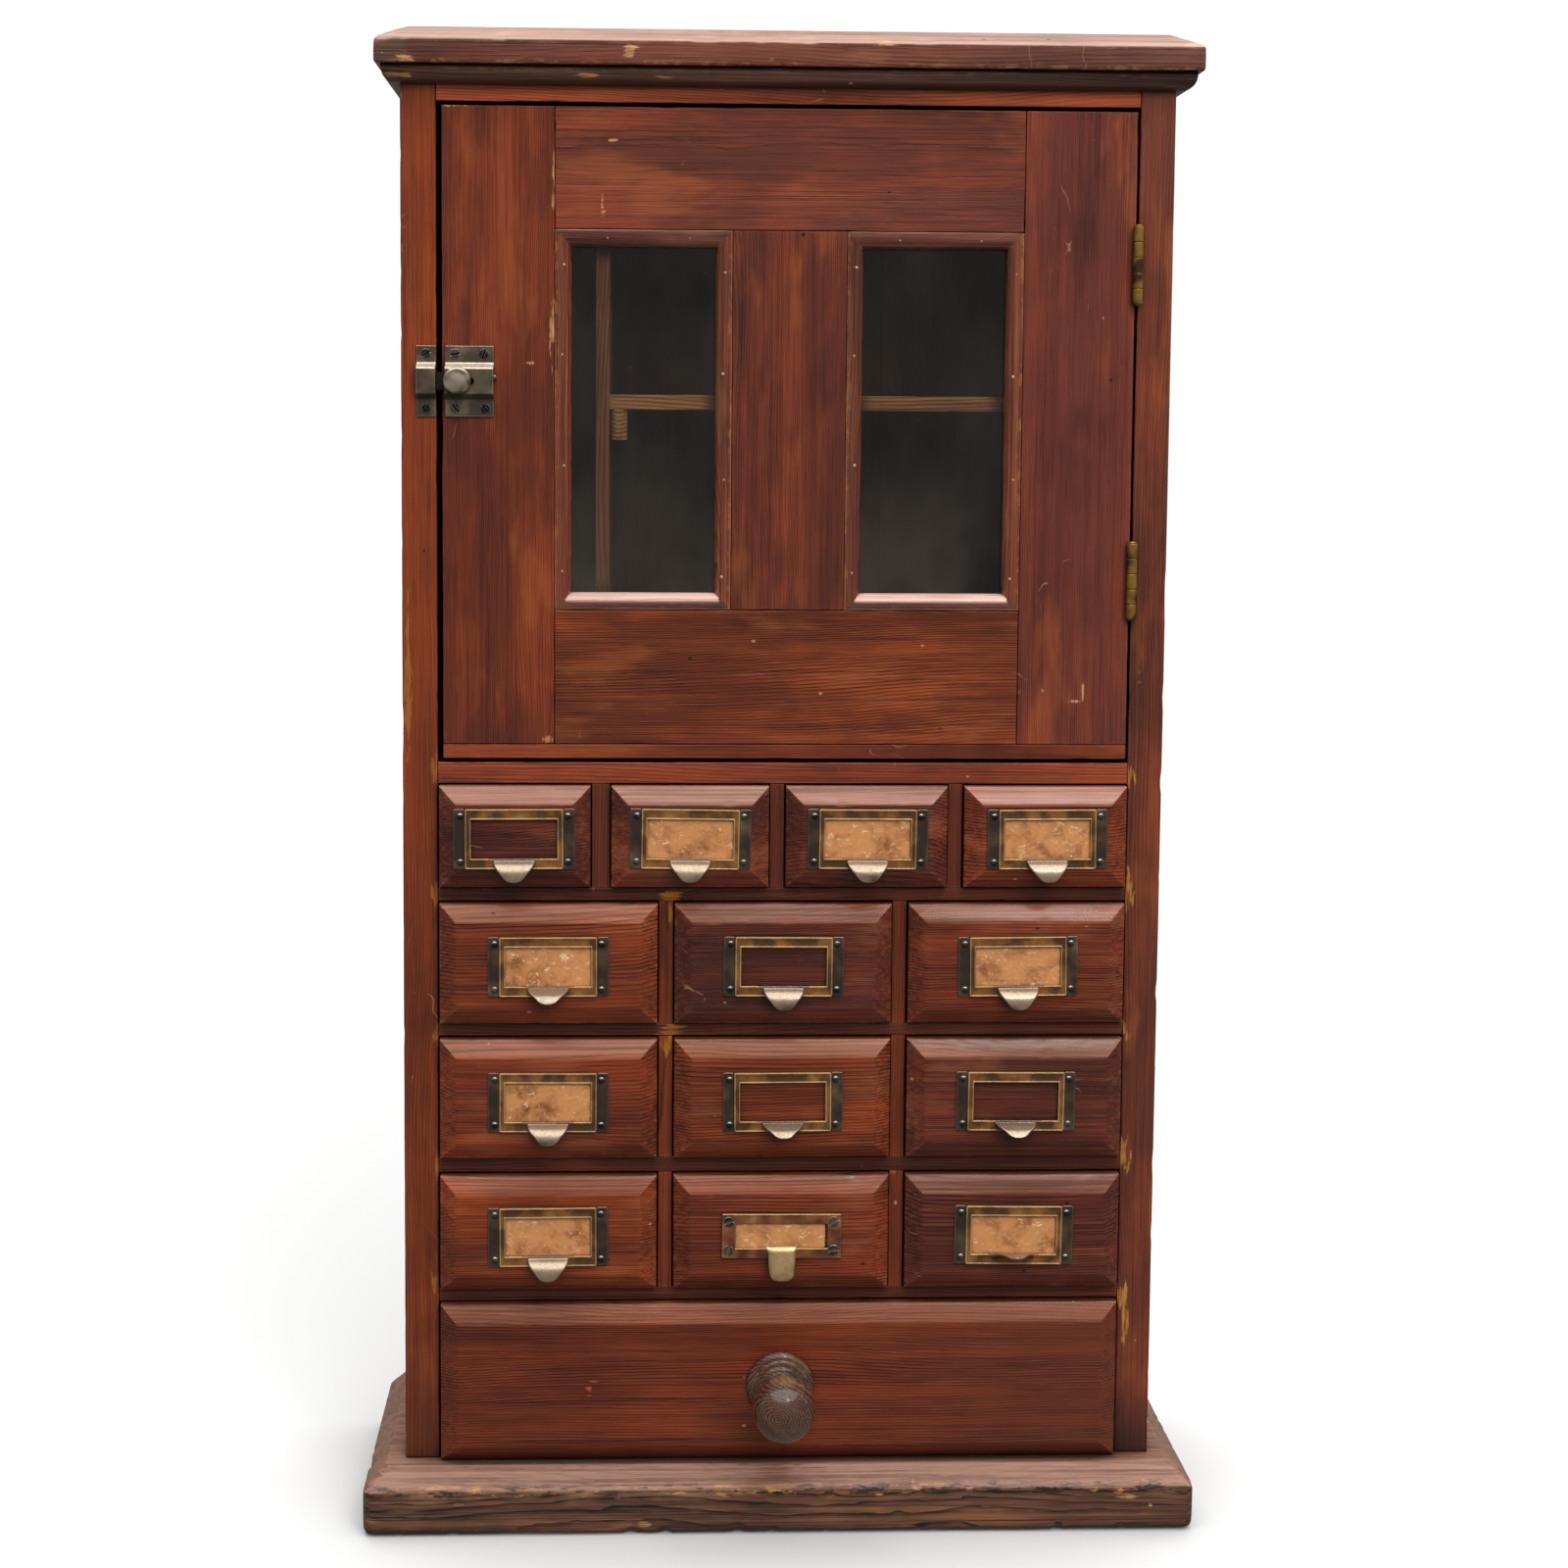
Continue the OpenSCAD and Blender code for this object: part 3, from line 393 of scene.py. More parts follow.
def slab(name, body, lo, hi, axis, profile, mat, step=6 * MM, corner=0.6 * MM, seed=1.0, fine=70.0,
         deep=0.5 * MM, replaces=(), slot=None, sides=(1, 1, 1, 1), flip=False):
    """A board built up in layers along "axis".
    profile rows are (height, inset, wear, lean): height runs from the low face (the high face with flip),
    wear scales the rubbing, and lean says which way along the axis the arris faces.
    sides says how much of the inset each side takes: low u, high u, low v, high v."""
    u, v, w = {"y": (0, 2, 1), "z": (0, 1, 2), "x": (1, 2, 0)}[axis]
    nx = max(2, round((hi[u] - lo[u]) / step))
    ny = max(2, round((hi[v] - lo[v]) / step))
    rings = []
    for h, inset, wear, lean in profile:
        level = hi[w] - h if flip else lo[w] + h
        pts = outline(lo[u] + inset * sides[0], hi[u] - inset * sides[1],
                      lo[v] + inset * sides[2], hi[v] - inset * sides[3], corner, nx, ny)
        ring = []
        for (a, b), (da, db) in pts:
            p = [0.0, 0.0, 0.0]
            p[u], p[v], p[w] = a, b, level
            if wear:
                cut = wear * chips(p, seed, fine, deep)
                p[u] -= da * cut * 0.8
                p[v] -= db * cut * 0.8
                p[w] -= lean * cut * 0.8 * (-1 if flip else 1)
            ring.append(p)
        rings.append(ring)
    n = len(rings[0])
    verts = [p for ring in rings for p in ring]
    faces = []
    for i in range(len(rings) - 1):
        for j in range(n):
            k = (j + 1) % n
            faces.append((i * n + j, i * n + k, (i + 1) * n + k, (i + 1) * n + j))
    faces.append(tuple(reversed(range(n))))
    faces.append(tuple((len(rings) - 1) * n + j for j in range(n)))
    inward = (axis == "y") != flip
    if inward:
        faces = [tuple(reversed(f)) for f in faces]
    return make(name, body, verts, faces, mat, replaces, slot)


def eased(thick, r=0.8 * MM, wear=1.0):
    """Profile of a plain board with rounded arrises on both faces."""
    steps = (0.0, 0.35, 0.7, 1.0)
    low = [(r * (1 - math.sin(math.pi / 2 * t)), r * (1 - math.cos(math.pi / 2 * t)), wear, -1) for t in reversed(steps)]
    return low + [(thick - h, i, w, 1) for h, i, w, _ in reversed(low)]


def board(name, body, lo, hi, mat, axis="y", r=0.8 * MM, wear=1.0, **more):
    w = {"x": 0, "y": 1, "z": 2}[axis]
    return slab(name, body, lo, hi, axis, eased(hi[w] - lo[w], r, wear), mat, **more)


def sweep(name, body, spine, profile, mats, closed, replaces=(), slot=None, place=None, parts=None, flat=False):
    """A profile carried along a path. spine rows are (point, out) in the path's plane, profile rows are
    (out, up), and place turns (a, b, up) into row coordinates. parts gives each spine step a material."""
    place = place or (lambda a, b, h: (a, b, h))
    m, n = len(profile), len(spine)
    verts = [place(p[0] + o[0] * out, p[1] + o[1] * out, up) for p, o in spine for out, up in profile]
    faces, face_mat = [], []
    for i in range(n if closed else n - 1):
        k = (i + 1) % n
        for j in range(m):
            q = (j + 1) % m
            faces.append((i * m + j, k * m + j, k * m + q, i * m + q))
            face_mat.append(parts[i] if parts else 0)
    if not closed:
        faces += [tuple(reversed(range(m))), tuple((n - 1) * m + j for j in range(m))]
        face_mat += [0, 0]
    return make(name, body, verts, faces, mats, replaces, slot, face_mat, flat)


def rect_spine(x0, x1, z0, z1, steps=1):
    """A rectangle's corners with mitre directions, anticlockwise from the low corner."""
    cs = [((x0, z0), (-1, -1)), ((x1, z0), (1, -1)), ((x1, z1), (1, 1)), ((x0, z1), (-1, 1))]
    out = []
    for i, (p, o) in enumerate(cs):
        q, r = cs[(i + 1) % 4]
        out.append((p, o))
        side = ((o[0] + r[0]) / 2, (o[1] + r[1]) / 2)
        for k in range(1, steps):
            t = k / steps
            out.append(((p[0] + (q[0] - p[0]) * t, p[1] + (q[1] - p[1]) * t), side))
    return out


def lathe(profile, centre, seg=48, axis="-y", start=0.0):
    """Verts and faces of a solid turned about an axis through centre; profile rows are (radius, reach)."""
    verts, faces = [], []
    for r, h in profile:
        for i in range(seg):
            a = start + 2 * math.pi * i / seg
            c, s = r * math.cos(a), r * math.sin(a)
            if axis == "-y":
                verts.append((centre[0] + c, centre[1] - h, centre[2] + s))
            else:
                verts.append((centre[0] + c, centre[1] + s, centre[2] + h))
    for i in range(len(profile) - 1):
        for j in range(seg):
            k = (j + 1) % seg
            f = (i * seg + j, i * seg + k, (i + 1) * seg + k, (i + 1) * seg + j)
            faces.append(f)
    faces.append(tuple(reversed(range(seg))))
    faces.append(tuple((len(profile) - 1) * seg + j for j in range(seg)))
    return verts, faces


def join(parts):
    verts, faces = [], []
    for v, f in parts:
        base = len(verts)
        verts += [tuple(p) for p in v]
        faces += [tuple(base + i for i in q) for q in f]
    return verts, faces


def pierced(part, tool):
    """The part with the tool's shape cut out of it; both are closed, as verts and faces."""
    made = []
    for verts, faces in (part, tool):
        me = bpy.data.meshes.new("cut")
        me.from_pydata([tuple(v) for v in verts], [], faces)
        bm = bmesh.new()
        bm.from_mesh(me)
        bmesh.ops.recalc_face_normals(bm, faces=bm.faces)
        bm.to_mesh(me)
        bm.free()
        made.append(bpy.data.objects.new("cut", me))
        bpy.context.scene.collection.objects.link(made[-1])
    mod = made[0].modifiers.new("cut", "BOOLEAN")
    mod.operation, mod.solver, mod.object = "DIFFERENCE", "EXACT", made[1]
    whole = made[0].evaluated_get(bpy.context.evaluated_depsgraph_get())
    left = whole.to_mesh()
    out = [tuple(v.co) for v in left.vertices], [tuple(q.vertices) for q in left.polygons]
    whole.to_mesh_clear()
    for me in [ob.data for ob in made]:
        bpy.data.meshes.remove(me)
    return out


def mid(lo, hi):
    return tuple((a + b) / 2 for a, b in zip(lo, hi))


# ---------------------------------------------------------------- sizes, in metres

side_lo, side_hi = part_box("side_boards")
FRONT = side_lo.y
INNER = side_hi.x - 0.023
BACK = side_hi.y


def at(x, y, z):
    """Millimetres from the middle, the carcass front and the floor, in row coordinates."""
    return (x * MM, FRONT + y * MM, z * MM)


def y_of(y):
    return (FRONT + y * MM) / MM


# ---------------------------------------------------------------- base, top, sides

lo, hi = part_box("base_board")
# Base: a painted highlight pales the chamfer and step, the faces turned upward
base_mat = wood("base_wood", "x", mid(lo, hi), 11, tones=(rgb(140, 88, 58), rgb(84, 52, 37), rgb(20, 13, 11)),
                ring=1.5, pith=(-22, 16), contrast=1.0, blotch=0.75, gloss=0.40, coat=0.35, worn=rgb(206, 160, 122), stripes=0.5,
                tone_and_shade_bands=((2, 29 * MM, 32 * MM, rgb(120, 68, 48), 0.6),), up=0.36, top_highlight_tone=rgb(200, 156, 134), mottled=0.5,
                arris=(2, 29.5, 5.5),
                wear=0.8, chipped=0.85, bare_and_highlight_tone=rgb(192, 142, 80), rough_bump=2.4, specks=0.8,
                bare_and_highlight=[(-38, lo.y / MM, 27, 5, 6, 2.2), (65, lo.y / MM, 26, 5, 6, 2), (-20, lo.y / MM, 18.5, 3, 6, 1.8),
                      (-90, lo.y / MM, 7, 4, 6, 2), (232, lo.y / MM, 24, 9, 6, 2), (-214, lo.y / MM, 22, 6, 6, 1.8)])
slab("base_board", ROOT, lo, hi, "z",
     [(0, 4.2 * MM, 1.6, -1), (0.6 * MM, 2.4 * MM, 1.8, -1), (1.8 * MM, 1.0 * MM, 1.6, -1), (4 * MM, 0.2 * MM, 0.8, -1),
      (10 * MM, 0, 0.25, 0), (16 * MM, 0, 0.25, 0), (22 * MM, 0, 0.25, 0), (27 * MM, 0, 0.6, 0), (29.6 * MM, 0, 1.2, 1),
      (30.6 * MM, 0.3 * MM, 1.8, 1), (31.6 * MM, 1.2 * MM, 1.8, 1), (33 * MM, 2.8 * MM, 1.0, 1), (36 * MM, 6.6 * MM, 0.3, 1),
      (39.5 * MM, 11 * MM, 0.3, 1), (41.4 * MM, 13.3 * MM, 0.7, 1), (41.9 * MM, 14.2 * MM, 0.7, 1), (42 * MM, 15.5 * MM, 0, 1)],
     base_mat, step=2.6 * MM, corner=5 * MM, seed=3, fine=85, deep=1.3 * MM, sides=(1, 1, 1, 0.05),
     replaces="base_board", slot="base_wood")

lo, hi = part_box("top_board")
# Top board: a painted highlight pales its upward faces; the left end takes a greyer end-grain tone, and the right end
# is painted darker, offsetting the light from the right
top_mat = wood("top_wood", "x", mid(lo, hi), 21, tones=(rgb(136, 66, 40), rgb(88, 42, 30), rgb(34, 17, 14)),
               ring=2.2, pith=(-60, 30), contrast=0.6, worn=rgb(196, 132, 86), wear=0.8, chipped=0.55, gloss=0.38,
               coat=0.5, rough_bump=1.6, stripes=0.35, up=0.6,
               tone_and_shade_bands=((0, -243 * MM, -247 * MM, rgb(84, 62, 48), 0.6), (0, 40 * MM, 230 * MM, rgb(74, 44, 38), 0.45)), top_highlight_tone=rgb(220, 172, 146),
               bare_and_highlight_tone=rgb(206, 150, 104), bare_and_highlight=[(-103, lo.y / MM, 968, 3.6, 6, 4.4), (-245, lo.y / MM, 963, 7, 6, 3),
                                                   (262, lo.y / MM + 2, 981, 16, 6, 5), (60, lo.y / MM, 975, 7, 6, 3)])
slab("top_board", ROOT, lo, hi, "z",
     [(0, 1.4 * MM, 1.2, -1), (0.4 * MM, 0.5 * MM, 1.2, -1), (1.4 * MM, 0, 1, -1), (5 * MM, 0, 0.2, 0), (10 * MM, 0, 0.2, 0),
      (14.4 * MM, 0, 1, 1), (15.6 * MM, 0.3 * MM, 1.3, 1), (16.6 * MM, 1.4 * MM, 1.2, 1), (18 * MM, 4 * MM, 0.5, 1),
      (22 * MM, 11.6 * MM, 0.2, 1), (25 * MM, 17.2 * MM, 0.4, 1), (25.8 * MM, 19 * MM, 0.5, 1), (26 * MM, 20.6 * MM, 0, 1)],
     top_mat, step=3 * MM, corner=1.2 * MM, seed=5, fine=75, deep=0.8 * MM, sides=(1, 1, 1, 0.04),
     replaces="top_board", slot="stained_pine")

lo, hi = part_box("cornice_moulding")
arc = [(11 * math.sin(math.pi / 2 * t / 8) ** 0.65 * MM, (960 - 11 * math.cos(math.pi / 2 * t / 8 - 1e-9) ** 0.8) * MM) for t in range(9)]
path = [((lo.x + 11 * MM, hi.y - t * (hi.y - lo.y - 11 * MM) / 20), (-1, 0)) for t in range(20)]
path.append(((lo.x + 11 * MM, lo.y + 11 * MM), (-1, -1)))
path += [((lo.x + 11 * MM + t * (hi.x - lo.x - 22 * MM) / 60, lo.y + 11 * MM), (0, -1)) for t in range(1, 60)]
path.append(((hi.x - 11 * MM, lo.y + 11 * MM), (1, -1)))
path += [((hi.x - 11 * MM, lo.y + 11 * MM + t * (hi.y - lo.y - 11 * MM) / 20), (1, 0)) for t in range(1, 21)]
cornice_x = wood("cornice_wood", "x", mid(lo, hi), 31, bare_and_highlight_tone=rgb(170, 118, 72),
                 bare_and_highlight=[(-131, lo.y / MM + 3, 953.5, 7, 8, 1.6), (-80, lo.y / MM + 3, 953, 8, 8, 1.6), (-252, lo.y / MM + 5, 953, 12, 12, 2.6)], tones=(rgb(86, 54, 42), rgb(54, 34, 28), rgb(22, 15, 14)), ring=2.0, stripes=0.4,
                 wear=0.9, worn=rgb(176, 118, 70), chipped=0.3, gloss=0.4)
cornice_y = wood("cornice_side_wood", "y", mid(lo, hi), 32, tones=(rgb(100, 50, 30), rgb(60, 30, 22), rgb(24, 14, 12)), ring=2.4,
                 wear=0.9, gloss=0.4)
sweep("cornice_moulding", ROOT, path, [(-0.4 * MM, 949.0 * MM)] + arc + [(-0.4 * MM, 960 * MM)], [cornice_x, cornice_y], False,
      "cornice_moulding", "stained_pine", parts=[1] * 20 + [0] * 60 + [1] * 20)

# Side boards: darker towards the bottom; their wider crevice reach paints shade beside the proud drawer fronts
left_mat = wood("left_side_wood", "z", mid((side_lo.x, side_lo.y, side_lo.z), (side_lo.x + 0.023, side_hi.y, side_hi.z)), 41,
                tones=(rgb(154, 66, 24), rgb(112, 46, 20), rgb(34, 15, 10)), ring=1.6, pith=(-70, 20), contrast=0.4, blotch=0.6,
                stripes=0.25, mottled=0.5, reach=0.02, grime_and_shade=0.9, tone_and_shade_bands=((2, 120 * MM, 55 * MM, rgb(62, 32, 24), 0.55),),
                bare_and_highlight=[(-228, y_of(0), 164, 6, 14, 22), (-227, y_of(0), 333, 6, 12, 12), (-228, y_of(0), 425, 6, 10, 12),
                      (-228, y_of(0), 242, 5, 10, 12), (-228, y_of(0), 506, 5, 10, 12), (-246, y_of(0), 560, 3, 8, 60)])
right_mat = wood("right_side_wood", "z", mid((side_hi.x - 0.023, side_lo.y, side_lo.z), (side_hi.x, side_hi.y, side_hi.z)), 42,
                 tones=(rgb(134, 62, 38), rgb(84, 42, 31), rgb(30, 14, 11)), ring=1.6, pith=(60, 24), contrast=0.45, stripes=0.3,
                 mottled=0.7, blotch=0.8, reach=0.02, grime_and_shade=0.9, tone_and_shade_bands=((2, 100 * MM, 50 * MM, rgb(40, 26, 22), 0.75), (2, 820 * MM, 940 * MM, rgb(96, 52, 42), 0.45)),
                 bare_and_highlight_tone=rgb(186, 128, 58),
                 bare_and_highlight=[(230, y_of(0), 151, 5, 14, 10), (229, y_of(0), 246, 6, 12, 14), (228, y_of(0), 334, 5, 10, 12),
                       (228, y_of(0), 424, 5, 10, 16), (229, y_of(0), 505, 5, 10, 10), (233, y_of(0), 136, 3.4, 14, 18)])
for tag, x0, mat, seed in (("left", side_lo.x, left_mat, 7), ("right", side_hi.x - 0.023, right_mat, 8)):
    board("side_board_" + tag, ROOT, (x0, side_lo.y, side_lo.z), (x0 + 0.023, side_hi.y, side_hi.z), mat,
          axis="y", r=1.1 * MM, seed=seed, step=5 * MM, deep=0.7 * MM, replaces="side_boards", slot="stained_pine")

lo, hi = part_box("back_boards")
# painted shade: the back's inner face, seen through the glass, is darkened because the inside of the cupboard lies in
# shade
back_mat = wood("back_wood", "z", mid(lo, hi), 51, tones=(rgb(150, 112, 78), rgb(112, 78, 52), rgb(66, 44, 30)), ring=4.2,
                pith=(30, 22), contrast=0.55, blotch=0.6, gloss=0.75, coat=0.0, wear=0.3, specks=0.4, knots=((-160, 40, 9), (210, -20, 7)),
                tone_and_shade_bands=((1, lo.y + 2.4 * MM, lo.y + 1.6 * MM, rgb(44, 33, 28), 0.92),), sheen=0.2)
wide = (hi.x - lo.x - 2 * 0.4 * MM) / 3
for i in range(3):
    x0 = lo.x + i * (wide + 0.4 * MM)
    board("back_board_%d" % (i + 1), ROOT, (x0, lo.y, lo.z), (x0 + wide, hi.y, hi.z), back_mat, r=0.6 * MM,
          seed=60 + i, step=20 * MM, corner=0.3 * MM, replaces="back_boards", slot="raw_pine")
    if i:
        board("back_tongue_%d" % i, ROOT, (x0 - 3.4 * MM, lo.y + 3 * MM, lo.z + 2 * MM), (x0 + 3 * MM, lo.y + 5 * MM, hi.z - 2 * MM),
              back_mat, r=0.2 * MM, step=60 * MM, corner=0.2 * MM, replaces="back_boards", slot="raw_pine")

# ---------------------------------------------------------------- rails, dividers, cupboard inside

CROSS = [("head_rail", 938.5, 960, 0, 20), ("cupboard_floor", 498, 512, 0, 142), ("row_board_1", 420, 429, 0, 142),
         ("row_board_2", 329.5, 338, 0, 142), ("row_board_3", 237.5, 247.5, 0, 142), ("row_board_4", 150, 158.5, 0, 142)]
for n, (name, z0, z1, y0, y1) in enumerate(CROSS):
    a, b = at(-227, y0, z0), at(227, y1, z1)
    # painted shade: the rails between drawer rows take darker tones and a wider crevice reach, standing in for the
    # shade under the proud drawer fronts
    low = n > 1
    mat = wood(name + "_wood", "x", mid(a, b), 61 + n, ring=1.8, pith=(-70, 20), contrast=0.6, stripes=0.4,
               tones=(rgb(104, 44, 25), rgb(66, 28, 18), rgb(24, 11, 9)) if low else (rgb(172, 76, 38), rgb(110, 46, 28), rgb(30, 14, 11)),
               reach=0.03 if low else 0.013, grime_and_shade=0.9,
               bare_and_highlight_tone=rgb(186, 112, 34), bare_and_highlight=[(-73, y_of(0), z0 + 4, 10, 12, 7)] if n in (2, 3) else ())
    board(name, ROOT, a, b, mat, r=0.7 * MM, seed=70 + n, step=6 * MM, corner=0.3 * MM,
          replaces="cross_boards", slot="stained_pine")

lo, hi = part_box("drawer_dividers")
# Dividers: darker at the top row's level; the wider crevice reach paints shade beside the drawer fronts
div_mat = wood("divider_wood", "z", mid(lo, hi), 71, ring=1.8, tones=(rgb(150, 64, 28), rgb(92, 38, 21), rgb(30, 14, 11)), stripes=0.35,
               tone_and_shade_bands=((2, 422 * MM, 432 * MM, rgb(86, 42, 32), 0.6),),
               bare_and_highlight_tone=rgb(186, 112, 34), wear=0.4, reach=0.02, grime_and_shade=0.9,
               bare_and_highlight=[(-73, y_of(0), 324, 6, 12, 8), (-72, y_of(0), 412, 5, 12, 13), (-71, y_of(0), 318, 3, 12, 16), (74, y_of(0), 238, 4, 10, 5)])
lo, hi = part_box("cupboard_shelf")
shelf_mat = wood("shelf_wood", "x", mid(lo, hi), 81, tones=(rgb(255, 196, 140), rgb(186, 126, 84), rgb(64, 42, 32)), ring=2.2,
                 contrast=0.7, gloss=0.7, coat=0.0, specks=0.8, wear=0.2, rough_bump=1.6)
inside_mat = wood("inside_wood", "z", (0, 0, 0.7), 82, tones=(rgb(200, 132, 100), rgb(140, 88, 64), rgb(66, 40, 32)), ring=2.6,
                  gloss=0.6, coat=0.0)



def dress(node, mat):
    """Gives a CAD node its material and slightly rounded arrises."""
    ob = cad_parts[node]
    ob.data.materials.clear()
    ob.data.materials.append(mat)
    mod = ob.modifiers.new("arris", "BEVEL")
    mod.width, mod.segments, mod.limit_method, mod.angle_limit = 0.0006, 2, "ANGLE", math.radians(35)


dress("drawer_dividers", div_mat)
dress("cupboard_partition", inside_mat)
dress("cupboard_shelf", shelf_mat)

# ---------------------------------------------------------------- door

DOOR = "door"
DOOR_CHIPS_AND_HIGHLIGHT = {
    # the first left-stile patch is a painted highlight, a pale strip along the door's top edge
    "door_stile_left": [(-212, y_of(0), 936, 14, 9, 1.3), (-156, y_of(0), 527, 6, 9, 4), (-152.6, y_of(0), 792, 2.2, 8, 20), (-151.4, y_of(0), 905, 0.9, 8, 26),
                        (-151.6, y_of(0), 874, 1.2, 8, 8), (-168, y_of(0), 772, 5, 6, 1.2)],
    "door_rail_top": [(-113.5, y_of(0), 915, 4.0, 6, 2.2), (-120, y_of(0), 868, 3.2, 6, 4.2), (-120.4, y_of(0), 874, 1.2, 6, 8)],
    "door_stile_right": [(196, y_of(0), 560, 1.2, 6, 7), (191, y_of(0), 553, 5, 6, 1.2)]}
door_parts = [
    ("door_stile_left", -223.5, -151, 524.2, 936, "z", "door_stiles", (-90, 30), 91, (rgb(142, 62, 34), rgb(92, 40, 28), rgb(34, 16, 13))),
    ("door_stile_right", 153, 225.5, 524.2, 936, "z", "door_stiles", (70, 30), 92, (rgb(156, 70, 48), rgb(104, 50, 40), rgb(36, 17, 15))),
    ("door_rail_top", -150.8, 152.8, 858.2, 936, "x", "door_rails", (12, 44), 93, (rgb(140, 62, 38), rgb(94, 46, 34), rgb(34, 16, 13))),
    ("door_rail_low", -150.8, 152.8, 524.2, 612.3, "x", "door_rails", (-72, 26), 94, (rgb(158, 72, 32), rgb(100, 42, 22), rgb(30, 14, 10))),
    ("door_muntin", -36, 38, 612.5, 858, "z", "door_rails", (-56, 30), 95, (rgb(132, 60, 40), rgb(84, 40, 32), rgb(32, 16, 13))),
    ("door_strip", -223.5, 225.5, 514.5, 524, "x", "door_rails", (-60, 20), 96, (rgb(170, 76, 40), rgb(112, 48, 28), rgb(30, 14, 11))),
]
for name, x0, x1, z0, z1, grain, node, pith, seed, tones in door_parts:
    a, b = at(x0, 0, z0), at(x1, 20, z1)
    mat = wood(name + "_wood", grain, mid(a, b), seed, tones=tones, ring=1.9 if "low" in name else 1.3, pith=pith,
               contrast=1.0 if "low" in name else 0.45, blotch=0.85, gloss=0.40, coat=0.2, sheen=0.35, mottled=0.8,
               stripes=0.45 if "low" in name else 0.32, bare_and_highlight_tone=rgb(206, 150, 104), bare_and_highlight=DOOR_CHIPS_AND_HIGHLIGHT.get(name, ()))
    board(name, DOOR, a, b, mat, r=0.8 * MM, seed=seed, step=6 * MM, corner=0.5 * MM, deep=0.45 * MM,
          replaces=node, slot="stained_pine")

WINDOWS = [(-151, -36), (38, 153)]
WZ = (612.5, 858)
# Horizontal beads: a strong painted highlight on the faces turned upward
bead_h = wood("bead_wood_h", "x", at(0, 0, 735), 97, tones=(rgb(116, 58, 44), rgb(72, 36, 28), rgb(30, 16, 14)), ring=1.6, wear=1.0,
              worn=rgb(196, 132, 92), gloss=0.26, coat=0.7, chipped=0.35, up=0.9, top_highlight_tone=rgb(248, 200, 182), reach=0.006)
bead_v = wood("bead_wood_v", "z", at(0, 0, 735), 98, tones=(rgb(138, 68, 46), rgb(84, 42, 30), rgb(28, 15, 13)), ring=1.6, wear=1.0,
              worn=rgb(200, 136, 90), gloss=0.26, coat=0.7, chipped=0.6, bare_and_highlight_tone=rgb(190, 124, 48), reach=0.006)
lip_mat = wood("lip_wood", "z", at(0, 15, 735), 99, ring=2.6)
for i, (x0, x1) in enumerate(WINDOWS):
    n = 14
    spine = rect_spine(x0 * MM, x1 * MM, WZ[0] * MM, WZ[1] * MM, n)
    place = lambda a, b, h: (a, FRONT + h, b)
    quarter = [(-(3 + 8 * math.sin(math.pi / 2 * t / 8)) * MM, 8 * (1 - math.cos(math.pi / 2 * t / 8)) * MM + 0.15 * MM) for t in range(9)]
    bead = [(-0.15 * MM, 8 * MM), (-0.15 * MM, 0.5 * MM), (-0.5 * MM, 0.15 * MM)] + quarter
    sweep("door_beads_%d" % (i + 1), DOOR, spine, bead, [bead_h, bead_v], True, "door_beads", "bead_wood",
          place=place, parts=[0] * n + [1] * n + [0] * n + [1] * n)
    lip = [(0, 10.4 * MM), (-7.6 * MM, 10.4 * MM), (-8 * MM, 10.8 * MM), (-8 * MM, 19.6 * MM), (-7.6 * MM, 20 * MM), (0, 20 * MM)]
    sweep("door_lip_%d" % (i + 1), DOOR, spine, lip, lip_mat, True, ["door_stiles", "door_rails"], "stained_pine", place=place)

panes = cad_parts["door_panes"]
panes.data.materials.clear()
panes.data.materials.append(pane_material())

# ---------------------------------------------------------------- drawers


def raised_front(name, body, node, seed, mat):
    lo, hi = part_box(node)
    prof = [(0, 0, 0, 0), (6 * MM, 0, 0, 0), (12.2 * MM, 0, 0.6, 1), (12.8 * MM, 0.15 * MM, 1.0, 1), (13.3 * MM, 0.7 * MM, 1.0, 1),
            (15.2 * MM, 3.6 * MM, 0.2, 1), (17.4 * MM, 7.0 * MM, 0.2, 1), (19.1 * MM, 9.7 * MM, 0.8, 1), (19.75 * MM, 10.9 * MM, 1.1, 1),
            (19.96 * MM, 12.0 * MM, 0.5, 1), (20 * MM, 13.4 * MM, 0, 1)]
    slab(name, body, lo, hi, "y", prof, mat, step=3.2 * MM, corner=0.35 * MM, seed=seed, fine=95, deep=0.45 * MM,
         replaces=node, slot="stained_pine", flip=True)


DARKISH = (rgb(122, 50, 31), rgb(78, 32, 23), rgb(24, 11, 10))
ORANGE = (rgb(162, 70, 27), rgb(106, 42, 20), rgb(28, 12, 9))
RUSSET = (rgb(146, 59, 27), rgb(94, 36, 20), rgb(26, 12, 9))
FRONT_TONES = {(1, 1): DARKISH, (1, 2): DARKISH, (1, 3): DARKISH, (1, 4): RUSSET, (2, 1): ORANGE, (2, 2): DARKISH, (2, 3): RUSSET,
               (3, 1): RUSSET, (3, 2): ORANGE, (3, 3): DARKISH, (4, 1): ORANGE, (4, 2): RUSSET, (4, 3): DARKISH}
